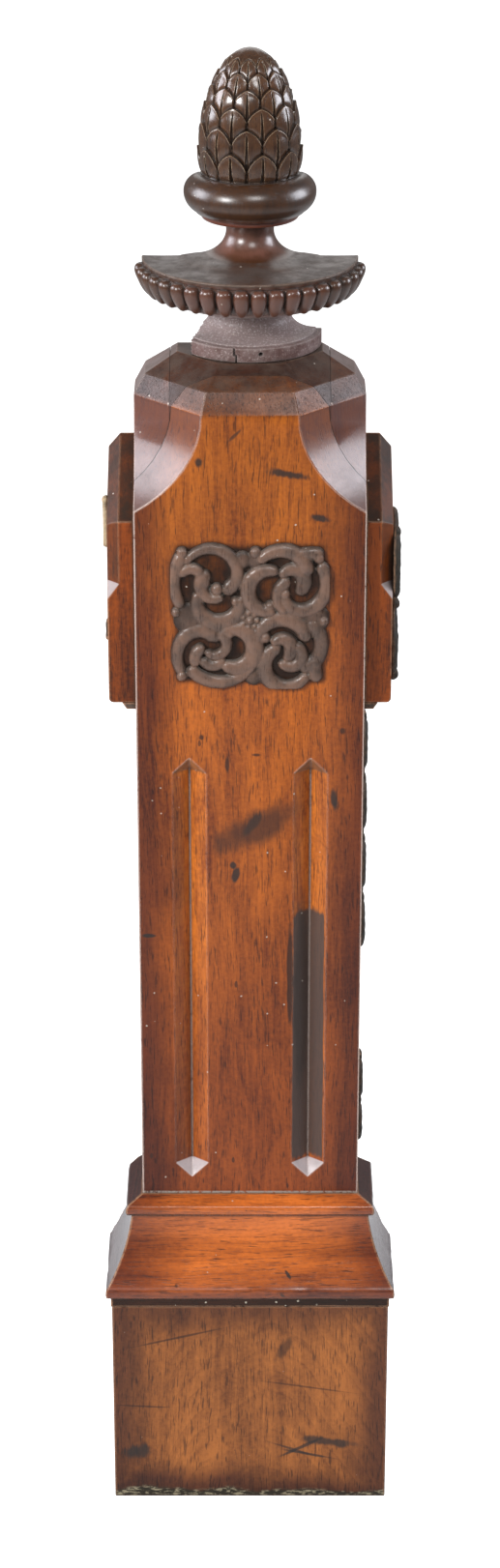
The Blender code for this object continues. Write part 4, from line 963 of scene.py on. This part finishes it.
# %% [markdown]
# ## The pine cone
#
# The cone is a turned egg whose radius grows and drops with each row of scales. In every upright
# column of the grid a scale starts behind the tip of the row below, swells, and stops at its own
# pointed-arch edge, so the rows of the grid bend with the arches and every edge stays crisp.

# %% Cone of scales
CONE_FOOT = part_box("pine_cone")[0].z
CONE_HEIGHT = 0.1078
CONE_RADIUS = 0.0435
CONE_FOOT_RADIUS = 0.0428
CONE_BELLY = 0.02
SCALES = 10
SCALE_ROWS = 6
FIRST_PITCH = 0.0245
PITCH_RATIO = 0.845
FIRST_ANGLE = 3.7
NOTCH_SHARE = 0.85
ARCH_LEAN = 0.5
EDGE_STEP = 0.0002
SCALE_LIFT = 0.0019
SCALE_SWELL = 0.0013
SCALE_RIM = 0.0005
SCALE_DROP = 0.0012
SLIT_DEPTH = 0.0032
GAP_DEPTH = 0.0028


def cone_radius(height):
    """Body of the cone: a short swelling foot, then R·sqrt(1 − share^1.8) up to the point."""
    foot = CONE_RADIUS - (CONE_RADIUS - CONE_FOOT_RADIUS) * (1 - np.clip(height / CONE_BELLY, 0, 1)) ** 2
    share = np.clip((height - CONE_BELLY) / (CONE_HEIGHT - CONE_BELLY), 0, 1)
    return foot * np.sqrt(np.clip(1 - share**1.8, 0, 1))


def arch_drop(share):
    """Pointed arch: 0 at the tip of a scale and 1 beside it, along an arc of a circle."""
    def rise(x):
        return np.sqrt(np.clip(1 - ((x + ARCH_LEAN) / (1 + ARCH_LEAN)) ** 2, 0, 1))
    return 1 - rise(share) / rise(0.0)


def ease(value, low, high):
    """0 below low, 1 above high, and a smooth S between."""
    share = np.clip((value - low) / (high - low), 0, 1)
    return share * share * (3 - 2 * share)


def cone_points(columns=300):
    """Radius = body + size·(lift + rim − slit − gap − sunk), at heights that follow the arches."""
    angle = np.linspace(0, 180, columns + 1)
    half_pitch = 180.0 / SCALES
    pitches = FIRST_PITCH * PITCH_RATIO ** np.arange(SCALE_ROWS)
    tips = np.cumsum(pitches)
    heights = [np.zeros_like(angle)]
    radii = [cone_radius(heights[0])]
    low = np.zeros_like(angle)
    along = np.array([0.02, 0.1, 0.2, 0.32, 0.45, 0.58, 0.7, 0.8, 0.88, 0.94, 0.98, 1.0])
    for row in range(SCALE_ROWS):
        phase = (angle + FIRST_ANGLE) / half_pitch + row
        off = np.abs(phase / 2 - np.round(phase / 2)) * 2
        edge = tips[row] - NOTCH_SHARE * pitches[row] * arch_drop(off)
        size = 0.45 + 0.55 * cone_radius(edge) / CONE_RADIUS
        for share in along:
            height = low + (edge - low) * share
            swell = SCALE_SWELL * np.sin(np.pi * share) * (1 - off**2)
            lift = SCALE_LIFT * share**1.4 * (1 - 0.4 * off) + swell
            rim = SCALE_RIM * ease(share, 0.86, 0.97)
            wedge = 0.035 + 0.12 * (1 - share) ** 1.5
            slit = SLIT_DEPTH * (1 - ease(off, wedge * 0.45, wedge)) * (1 - ease(share, 0.8, 0.93))
            gap = GAP_DEPTH * ease(off, 0.84, 0.99) * (1 - 0.3 * share)
            sunk = 0.0010 * (1 - ease(share, 0.0, 0.25))
            heights.append(height)
            radii.append(cone_radius(height) + size * (lift + rim - slit - gap - sunk))
        heights.append(edge + EDGE_STEP)
        radii.append(cone_radius(edge) - SCALE_DROP * size)
        low = edge + EDGE_STEP
    for share in (0.1, 0.2, 0.32, 0.46, 0.6, 0.74, 0.86, 0.95, 1.0):
        height = low + (CONE_HEIGHT - low) * share
        heights.append(height)
        radii.append(cone_radius(height) + 0.0006 * np.sin(np.pi * min(share * 2, 1.0)))
    radii[-1] = np.zeros_like(angle)
    return angle, np.array(radii), np.array(heights)


def spun(rows, columns):
    """Radius and height of each row of a section, the same in every column of the turning."""
    rows = np.array(rows, float)
    return np.repeat(rows[:, :1], columns, 1), np.repeat(rows[:, 1:], columns, 1)


def half_turned(name, angle, radii, heights, look, smooth, node):
    """A half turning: x = r·cos, y = back + r·sin; its first and last columns lie in the flat back."""
    turn = np.pi + np.radians(angle)[None, :]
    x = radii * np.cos(turn)
    y = BACK + radii * np.sin(turn)
    y[:, [0, -1]] = BACK
    rows, columns = radii.shape
    up = [row * columns for row in range(rows)]
    down = [row * columns + columns - 1 for row in reversed(range(rows))]
    faces = grid_faces(rows, columns) + [up + down]
    stand_for(surface(name, np.stack([x, y, heights], -1), faces, look, smooth), "finial_walnut", node)


angle, radii, heights = cone_points()
radii = np.concatenate([np.zeros((1, radii.shape[1])), radii])
heights = np.concatenate([np.zeros((1, heights.shape[1])), heights])
half_turned("scaled_cone", angle, radii, CONE_FOOT + heights, cone_look, 50, "pine_cone")

# %% [markdown]
# ## Dish, beads, neck and cup
#
# The dish is a turning: a section of radius against height goes round the axis. The beads stand on it
# as eggs with the broad end up. They need no bodies of their own, because the radius of a point can
# simply be the larger of two: the turned wall, or the egg that covers this angle and height.

# %% Turned dish
DISH_RADIUS = 0.0943
DISH_EDGE = 0.0048
DISH_FALL = 0.0024
FOOT_NECK = 0.0356
BEADS = 20
BEAD_HEIGHT = 0.0262
BEAD_WIDTH = 0.0146
BEAD_BULGE = 0.0074
BEAD_CENTRE = 0.0915
BEAD_LEAN = 0.0038
BED_RADIUS = 0.0865
WALL_INSET = 0.0006
NECK_RADIUS = 0.0208
NECK_FLARE = 0.047
RING_RADIUS = 0.0427
RING_HEIGHT = 0.0055
CUP_CENTRE = 0.0405
CUP_SECTION = 0.0171


def bead_radius(angle, height):
    """Egg in the ring: centre + lean·v + bulge·taper·sqrt(1 − |u|^2.3 − |v|^2.4), v up it, u across it."""
    centre_height = DISH_TOP - DISH_EDGE - BEAD_HEIGHT / 2 + GAP
    v = np.clip((height - centre_height) / (BEAD_HEIGHT / 2), -1, 1)
    taper = 1 + 0.24 * v
    across = (np.mod(angle / 180 * BEADS, 1) - 0.5) * np.pi / BEADS * BEAD_CENTRE
    u = across / (taper * BEAD_WIDTH / 2 * 0.97)
    inside = 1 - np.abs(u) ** 2.3 - np.abs(v) ** 2.4
    bulge = BEAD_BULGE * taper * np.sqrt(np.clip(inside, 0, 1))
    return np.where(inside > 0, BEAD_CENTRE + BEAD_LEAN * v + bulge, 0.0)


def dish_points(columns=480):
    """Rows from the joint below to the cup's top; those beside the beads take the larger radius."""
    angle = np.linspace(0, 180, columns + 1)
    rim_foot = DISH_TOP - DISH_EDGE
    bed_foot = rim_foot - 0.92 * BEAD_HEIGHT
    share = np.linspace(0, 1, 12)
    under_radius = FOOT_NECK + (BED_RADIUS - FOOT_NECK) * share
    under = np.stack([under_radius, DISH_FOOT + (bed_foot - DISH_FOOT) * share**2], 1)
    wall_radius = DISH_RADIUS - WALL_INSET
    upright = [[wall_radius, rim_foot - 0.15 * BEAD_HEIGHT], [wall_radius, rim_foot]]
    wall = np.concatenate([under, upright])
    bead_foot = rim_foot - BEAD_HEIGHT + GAP
    fine = np.linspace(bead_foot, bead_foot + 0.006, 16)
    beside = np.concatenate([fine, np.linspace(bead_foot + 0.0065, rim_foot - 0.0001, 34)])
    low = wall[wall[:, 1] < bead_foot - 0.0001]
    rim = [[DISH_RADIUS - 0.0004, rim_foot], [DISH_RADIUS, rim_foot + 0.0006],
           [DISH_RADIUS, DISH_TOP - 0.0008], [DISH_RADIUS - 0.0008, DISH_TOP]]
    top = [[0.95 * DISH_RADIUS, DISH_TOP - 0.0002], [0.8 * DISH_RADIUS, DISH_TOP - 0.0004],
           [0.65 * DISH_RADIUS, DISH_TOP - 0.0002], [1.25 * NECK_FLARE, DISH_TOP + DISH_FALL / 4],
           [NECK_FLARE, DISH_TOP + DISH_FALL]]
    turn = np.linspace(0, np.pi / 2, 16)[1:]
    neck = np.stack([NECK_FLARE - (NECK_FLARE - NECK_RADIUS) * np.sin(turn),
                     DISH_TOP + DISH_FALL + 0.6 * NECK_HEIGHT * (1 - np.cos(turn))], 1)
    ring_top = RING_FOOT + RING_HEIGHT
    ring = [[1.03 * NECK_RADIUS, RING_FOOT - 0.004], [1.12 * NECK_RADIUS, RING_FOOT],
            [0.98 * RING_RADIUS, RING_FOOT], [RING_RADIUS, RING_FOOT + 0.22 * RING_HEIGHT],
            [RING_RADIUS, ring_top - 0.15 * RING_HEIGHT], [0.985 * RING_RADIUS, ring_top]]
    cup_rise = 0.97 * CUP_SECTION
    turn = np.radians(np.linspace(-66, 76, 30))
    cup_radius = CUP_CENTRE + CUP_SECTION * np.cos(turn)
    cup = np.stack([cup_radius, ring_top + cup_rise + CUP_SECTION * np.sin(turn)], 1)
    cup[0, 1] = ring_top
    behind = np.stack([np.interp(beside, wall[:, 1], wall[:, 0]), beside], 1)
    rows = np.concatenate([[[0, DISH_FOOT]], low, behind, rim, top, neck, ring, cup,
                           [[0, ring_top + 2 * cup_rise]]])
    radii, heights = spun(rows, columns + 1)
    first = 1 + len(low)
    band = slice(first, first + len(beside))
    radii[band] = np.maximum(radii[band], bead_radius(angle[None, :], heights[band]))
    return angle, radii, heights


half_turned("beaded_dish", *dish_points(), dish_look, 40, "finial_dish")

# %% [markdown]
# ## The disc under the dish
#
# The disc and its flared neck are turned too. The left back corner has split away along the grain, so
# there the radius is the smaller of two: the disc, or the distance to the break. A nail hole and a
# stepped crack are sunk into the band by taking a little off the radius inside each one's outline.

# %% Broken disc
DISC_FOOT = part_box("finial_foot")[0].z
DISC_RADIUS = 0.063
DISC_THICKNESS = 0.0128
FLARE_RADIUS = 0.0575
FLARE_SHARE = 0.62
FLARE_STEP = 0.0012
FOOT_RISE = 0.036
BREAK_X = 0.0404
BREAK_SLANT = 0.27
BREAK_END = 36.5
NAIL = (0.0094, 0.0078)
NAIL_RADIUS = 0.0016
NAIL_DEPTH = 0.004
CRACK_X = (-0.0119, -0.0137)
CRACK_STEP = 0.0065
CRACK_HALF = 0.0006
CRACK_DEPTH = 0.0016


def disc_points(columns=480):
    """Disc, small step and concave neck; then the break, the nail hole and the crack are taken off."""
    angle = np.linspace(0, 180, columns + 1)
    disc_top = DISC_FOOT + DISC_THICKNESS
    foot_top = DISC_FOOT + FOOT_RISE
    rise = (FOOT_RISE - DISC_THICKNESS) * FLARE_SHARE
    band = np.linspace(DISC_FOOT + 0.0006, disc_top - 0.0005, 24)
    rows = [[0, DISC_FOOT], [DISC_RADIUS - 0.0006, DISC_FOOT]]
    rows += [[DISC_RADIUS, height] for height in band]
    rows += [[DISC_RADIUS - 0.0006, disc_top], [FLARE_RADIUS + 0.0006, disc_top],
             [FLARE_RADIUS, disc_top + FLARE_STEP]]
    for bend in np.linspace(0, np.pi / 2, 18)[1:]:
        rows.append([FLARE_RADIUS - (FLARE_RADIUS - FOOT_NECK) * np.sin(bend),
                     disc_top + FLARE_STEP + rise * (1 - np.cos(bend))])
    rows += [[FOOT_NECK, foot_top - 0.0004], [FOOT_NECK - 0.0004, foot_top], [0, foot_top]]
    radii, heights = spun(rows, columns + 1)
    turn = np.pi + np.radians(angle)[None, :]
    across, back = np.cos(turn), -np.sin(turn)
    splintered = 0.0008 * np.sin(heights * 1900) + 0.0006 * np.sin(radii * back * 900)
    broken = (BREAK_X + BREAK_SLANT * radii * back + splintered) / np.clip(-across, 0.05, 1)
    radii = np.where(angle[None, :] < BREAK_END, np.minimum(radii, broken), radii)
    x = radii * across
    level = heights - DISC_FOOT
    nail = (x - NAIL[0]) ** 2 + (level - NAIL[1]) ** 2 < NAIL_RADIUS**2
    low_x, high_x = CRACK_X
    middle = np.where(level > CRACK_STEP, high_x, low_x) + 0.0002 * np.sin(heights * 3000)
    crack = (np.abs(x - middle) < CRACK_HALF) & (heights < disc_top + 0.0011)
    joint = (np.abs(level - CRACK_STEP) < 0.0004) & (x > high_x - CRACK_HALF) & (x < low_x + CRACK_HALF)
    on_band = radii > FLARE_RADIUS + 0.002
    radii = radii - np.where(nail & on_band, NAIL_DEPTH, 0)
    radii -= np.where((crack | joint) & on_band, CRACK_DEPTH, 0)
    return angle, radii, heights


half_turned("broken_disc", *disc_points(), disc_look, 40, "finial_foot")

# %% [markdown]
# ## Scroll carving
#
# Each scroll is a rounded rib carried along an arc that closes in on its centre. Many overlapping
# ribs make one carving, so they are joined by a voxel remesh, which keeps the valleys between them
# and leaves a single skin. The drawing is a table of arcs, because a carver sets a panel out the same
# way, with a pair of dividers.

# %% The panel's drawing
# The drawing is 142 wide and 127 high, x to the right, y down, angles clockwise from +x.
# A scroll is (centre x, centre y, first angle, last angle, first radius, last radius,
# width at the start, in the middle and at the end); its radius closes in with the square of the way.
DRAWING_WIDTH = 142.0
DRAWING_HEIGHT = 127.0
DRAWING_CENTRE = (79.0, 68.5)
LEFT_SCROLLS = (
    (47, 38, -150, 48, 31, 10, 5, 8, 9),
    (44, 41, -90, -318, 8, 15, 13, 9, 5),
    (51, 56, 205, -14, 20, 19, 6, 11, 6),
    (55, 40, 217, 150, 45, 43, 8, 8, 7),
    (27, 37, 195, 335, 11, 9, 6, 7, 7),
    (43, 103, -218, -60, 31, 11, 7, 9, 10),
    (65, 100, -128, 132, 19, 16, 6, 12, 7),
    (50, 95, 142, 30, 34, 38, 8, 8, 4),
    (40, 108, 140, 262, 11, 10, 8, 8, 6),
    (47, 96, 152, -78, 9, 13, 5, 7, 8),
    (44, 105, 165, 15, 9, 12, 6, 7, 7),
)
RIGHT_SCROLLS = (
    (113, 42, -142, -28, 34, 20, 6, 9, 9),
    (134, 60, -110, -76, 48, 46, 6, 7, 9),
    (118, 39, -160, 80, 12, 7, 5, 10, 9),
    (117, 50, -95, -255, 12, 17, 8, 7, 6),
    (117, 43, -42, 138, 32, 9, 8, 9, 7),
    (96, 47, -62, -290, 19, 18, 6, 10, 6),
    (111, 97, -182, -12, 27, 19, 5, 10, 8),
    (115, 100, -57, 62, 31, 19, 8, 9, 8),
    (170, 118, 202, 158, 32, 31, 8, 8, 9),
    (110, 115, -98, -342, 17, 22, 7, 10, 6),
    (108, 99, -160, 85, 9, 8, 5, 9, 8),
    (117, 105, -82, 155, 9, 12, 6, 8, 6),
)
# Balls and low webs between the scrolls: (x, y, radius)
LEFT_BALLS = ((18, 12, 5.4), (12, 66, 4.6), (66, 56, 4.6), (49, 45, 6.0), (61, 85, 4.8), (17, 124, 5.2))
RIGHT_BALLS = ((84, 12, 5.6), (97, 60, 4.8), (111, 49, 4.8), (93, 89, 5.2), (146, 74, 4.6), (141, 17, 5.0))
FLOWER = (79, 73)
CENTRE_BALLS = ((*FLOWER, 4.2),)
PETALS = 7
PETAL_RING = 6.6
PETAL_RADIUS = 2.9
LEFT_WEBS = ((24, 72, 14), (72, 19, 8), (77, 72, 12), (82, 125, 8))
RIGHT_WEBS = ((84, 19, 8), (139, 72, 12), (92, 126, 6))
RIB_SPREAD = 1.56
ROUGH_PITCH = 0.006


# %% Rounded ribs
def rib_points(scroll, scale, rise, steps=56, around=18):
    """Centre line: radius = r0 + (r1 − r0)·way². Section: half an ellipse. Both ends are rounded off."""
    centre_x, centre_y, first, last, start_radius, end_radius, start_width, mid_width, end_width = scroll
    way = (1 - np.cos(np.linspace(0, np.pi, steps))) / 2
    turn = np.radians(first + (last - first) * way)
    radius = start_radius + (end_radius - start_radius) * way**2
    line = np.stack([centre_x + radius * np.cos(turn), centre_y + radius * np.sin(turn)], 1)
    ahead = np.gradient(line, axis=0)
    length = np.concatenate([[0], np.cumsum(np.linalg.norm(np.diff(line, axis=0), axis=1))])
    across = np.stack([-ahead[:, 1], ahead[:, 0]], 1)
    across /= np.linalg.norm(across, axis=1, keepdims=True)
    middle = mid_width - (start_width + end_width) / 2
    half = RIB_SPREAD * (start_width + (end_width - start_width) * way + middle * np.sin(np.pi * way)) / 2
    from_start = np.clip(length / half[0], 0.0, 1)
    from_end = np.clip((length[-1] - length) / half[-1], 0.0, 1)
    closing = np.sqrt(1 - (1 - from_start) ** 2) * np.sqrt(1 - (1 - from_end) ** 2)
    closing = np.clip(closing, 0.05, 1)
    bend = np.linspace(0, np.pi, around)
    side = np.cos(bend)
    up = np.sin(bend) ** 0.75
    spread = (half * closing)[:, None] * side[None, :]
    place = line[:, None, :] + across[:, None, :] * spread[..., None]
    level = rise * (0.35 + 0.65 * closing)[:, None] * up[None, :]
    return np.stack([place[..., 0] * scale[0], -place[..., 1] * scale[1], level], -1)


def button_points(x, y, radius, scale, rise, steps=14, around=24):
    """A round button: the radius closes as a cosine while the height rises as a sine."""
    bend = np.linspace(0, np.pi / 2 * 0.98, steps)
    turn = np.linspace(0, 2 * np.pi, around, endpoint=False)
    out = radius * np.cos(bend)[:, None]
    place_x = x + out * np.cos(turn)[None, :]
    place_y = y + out * np.sin(turn)[None, :]
    level = np.broadcast_to(rise * np.sin(bend)[:, None] ** 0.8, place_x.shape)
    return np.stack([place_x * scale[0], -place_y * scale[1], level], -1)


def joined(name, parts, axes, position, look, limits=(1.0, 1.0)):
    """All the ribs and buttons in one mesh: closed tubes, turned onto their face and smooth-shaded."""
    points = []
    faces = []
    base = 0
    for grid in parts:
        rows, columns = grid.shape[:2]
        faces += [[base + k for k in face] for face in grid_faces(rows, columns, wrap=True)]
        faces += [[start + k for k in range(columns)] for start in (base, base + (rows - 1) * columns)]
        points.append(grid.reshape(-1, 3))
        base += rows * columns
    points = np.concatenate(points)
    right, up, out = (np.array(axis, float) for axis in axes)
    points[:, :2] = np.clip(points[:, :2], -np.array(limits), limits)
    points = points[:, :1] * right + points[:, 1:2] * up + points[:, 2:3] * out + np.array(position)
    return surface(name, points, faces, look)


def skinned(made, voxel, look, seed, roughen, rounds=2, cut=None):
    """The Remesh modifier's result as a plain mesh, relaxed, cut at the flat back if asked, roughened."""
    remesh = made.modifiers.new("skin", "REMESH")
    remesh.mode = "VOXEL"
    remesh.voxel_size = voxel
    relax = made.modifiers.new("relax", "SMOOTH")
    relax.factor = 0.5
    relax.iterations = rounds
    graph = bpy.context.evaluated_depsgraph_get()
    mesh = bpy.data.meshes.new_from_object(made.evaluated_get(graph))
    made.modifiers.clear()
    made.data = mesh
    if cut is not None:
        shape = bmesh.new()
        shape.from_mesh(mesh)
        every = list(shape.verts) + list(shape.edges) + list(shape.faces)
        place, facing = cut
        sliced = bmesh.ops.bisect_plane(
            shape, geom=every, plane_co=place, plane_no=facing, clear_outer=True)
        rims = [item for item in sliced["geom_cut"] if isinstance(item, bmesh.types.BMEdge)]
        bmesh.ops.holes_fill(shape, edges=rims, sides=0)
        shape.to_mesh(mesh)
        shape.free()
    points, normals = np.empty((2, len(mesh.vertices), 3))
    mesh.vertices.foreach_get("co", points.ravel())
    mesh.vertices.foreach_get("normal", normals.ravel())
    points += normals * (ripple(points, ROUGH_PITCH, seed) * roughen)[:, None]
    points[:, 1] = np.minimum(points[:, 1], BACK)
    mesh.vertices.foreach_set("co", points.ravel())
    dressed(mesh, look)


# %% Panels
PANEL_WIDTH = 0.138
PANEL_HEIGHT = 0.1315
PANEL_RISE = 0.0068
PANEL_SPREAD = (0.1395, 0.1385)
SIDE_PANEL_HEIGHT = 0.152
SIDE_PANEL_CENTRE = 0.0886
SIDE_PANEL_INSET = 0.005
BLOCK_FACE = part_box("right_block")[1].x
BLOCK_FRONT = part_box("right_block")[0].y
BLOCK_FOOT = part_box("right_block")[0].z
FACE_FRONT = ((1, 0, 0), (0, 0, 1), (0, -1, 0))
FACE_RIGHT = ((0, 1, 0), (0, 0, 1), (1, 0, 0))
FACE_LEFT = ((0, -1, 0), (0, 0, 1), (-1, 0, 0))


def panel_parts(scrolls, balls, webs, width, height):
    """All ribs and buttons of the drawing about its centre; neighbouring ribs differ a little in height."""
    scale = (width / DRAWING_WIDTH, height / DRAWING_HEIGHT)
    centre_x, centre_y = DRAWING_CENTRE
    parts = []
    for number, scroll in enumerate(scrolls):
        rise = PANEL_RISE * (0.78 + 0.22 * (number * 0.618 % 1))
        parts.append(rib_points((scroll[0] - centre_x, scroll[1] - centre_y, *scroll[2:]), scale, rise))
    for x, y, radius in balls:
        parts.append(button_points(x - centre_x, y - centre_y, radius, scale, PANEL_RISE * 0.98))
    for x, y, radius in webs:
        parts.append(button_points(x - centre_x, y - centre_y, radius * 1.05, scale, PANEL_RISE * 0.6))
    for number in range(PETALS):
        turn = 2 * math.pi * number / PETALS
        x = FLOWER[0] - centre_x + PETAL_RING * math.cos(turn)
        y = FLOWER[1] - centre_y + PETAL_RING * math.sin(turn)
        parts.append(button_points(x, y, PETAL_RADIUS, scale, PANEL_RISE * 0.82))
    return parts


carved = panel_parts(LEFT_SCROLLS + RIGHT_SCROLLS, LEFT_BALLS + RIGHT_BALLS + CENTRE_BALLS,
                     LEFT_WEBS + RIGHT_WEBS, PANEL_WIDTH, PANEL_HEIGHT)
panel = joined("carved_front_panel", carved, FACE_FRONT, (0, FRONT - GAP, PANEL_CENTRE), carving_look,
               (PANEL_SPREAD[0] / 2, PANEL_SPREAD[1] / 2))
skinned(panel, 0.0007, carving_look, seed=4.0, roughen=0.00012, rounds=1)
stand_for(panel, "carving_walnut", "front_panel")

half_width = BACK - BLOCK_FRONT - SIDE_PANEL_INSET
carved = panel_parts(LEFT_SCROLLS, LEFT_BALLS + CENTRE_BALLS, LEFT_WEBS, 2 * half_width, SIDE_PANEL_HEIGHT)
panel = joined("carved_right_panel", carved, FACE_RIGHT,
               (BLOCK_FACE + GAP, BACK, BLOCK_FOOT + SIDE_PANEL_CENTRE), dark_carving_look)
skinned(panel, 0.0009, dark_carving_look, seed=5.0, roughen=0.00025, cut=((0, BACK, 0), (0, 1, 0)))
stand_for(panel, "carving_walnut", "right_panel")

# %% [markdown]
# ## The drop, and what is left on the other side
#
# On the right of the shaft hangs a drop of paired leaves, of which two lengths survive. On the left
# block only two splinters show where the other panel was.

# %% Drop and splinters
HUSK_WIDTH = 100.0
HUSK_HEIGHT = 84.0
DROP_WIDTH = 0.046
DROP_RISE = 0.0055
UPPER_DROP = 0.243
UPPER_DROP_GAP = 0.0244
LOWER_DROP = 0.094
LOWER_DROP_GAP = 0.0272
SPLINTER_RISE = PANEL_RISE * 0.68
MOULDING_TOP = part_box("bevel_moulding_front")[1].z


def drop_parts(husks, length):
    """Pairs of scrolled leaves round a ball, one pair under the other on a stem."""
    scale = (DROP_WIDTH / HUSK_WIDTH, length / husks / HUSK_HEIGHT)
    parts = []
    for number in range(husks):
        middle = HUSK_HEIGHT * (number + 0.5)
        size = 1.0 - 0.1 * number / husks
        for side, first, last, share in ((-1, -65, -330, 0.9), (1, -115, 150, 0.86)):
            leaf = (side * 19 * size, middle, first, last, 25 * size, 14 * size, 11, 20, 13)
            parts.append(rib_points(leaf, scale, DROP_RISE * share))
        parts.append(button_points(0, middle, 12 * size, scale, DROP_RISE))
        parts.append(button_points(0, middle - 30, 8 * size, scale, DROP_RISE * 0.8))
    down = np.linspace(3, husks * HUSK_HEIGHT - 3, 30)
    bend = np.linspace(0, np.pi, 12)
    x = np.cos(bend)[None, :] * (6 + 1.5 * np.sin(down / 7))[:, None]
    y = np.broadcast_to(down[:, None], x.shape)
    level = np.broadcast_to(np.sin(bend)[None, :] * DROP_RISE * 0.6, x.shape)
    parts.append(np.stack([x * scale[0], -y * scale[1], level], -1))
    return parts


middle = (BLOCK_FRONT + BACK) / 2
for name, node, husks, length, top in (
    ("drop_upper", "right_drop_upper", 4, UPPER_DROP, BLOCK_FOOT - UPPER_DROP_GAP),
    ("drop_lower", "right_drop_lower", 2, LOWER_DROP, MOULDING_TOP + LOWER_DROP_GAP + LOWER_DROP),
):
    drop = joined(name, drop_parts(husks, length), FACE_RIGHT, (HALF + GAP, middle, top), dark_carving_look)
    skinned(drop, 0.0007, dark_carving_look, seed=7.0, roughen=0.00025)
    stand_for(drop, "carving_walnut", node)

scale = (half_width / DRAWING_CENTRE[0], SIDE_PANEL_HEIGHT / DRAWING_HEIGHT)
for name, node, scroll, look in (
    ("splinter_upper", "left_panel_remnant_upper", (-27, -51, 255, 138, 26, 23, 4, 6, 3), splinter_look),
    ("splinter_lower", "left_panel_remnant_lower", (-58, 36, 210, 120, 12, 11, 3, 4, 2), dark_carving_look),
):
    rib = rib_points(scroll, scale, SPLINTER_RISE, steps=120, around=24)
    tear = 1 + 0.3 * ripple(rib * np.array([1.0, 1.0, 0.3]), 0.005, 9.0)
    rib[..., 2] *= np.clip(tear, 0.35, 1.0)
    position = (-BLOCK_FACE - GAP, BLOCK_FRONT, BLOCK_FOOT + SIDE_PANEL_CENTRE)
    stand_for(joined(name, [rib], FACE_LEFT, position, look), "bare_wood", node)

# %% Finish
bpy.context.view_layer.update()
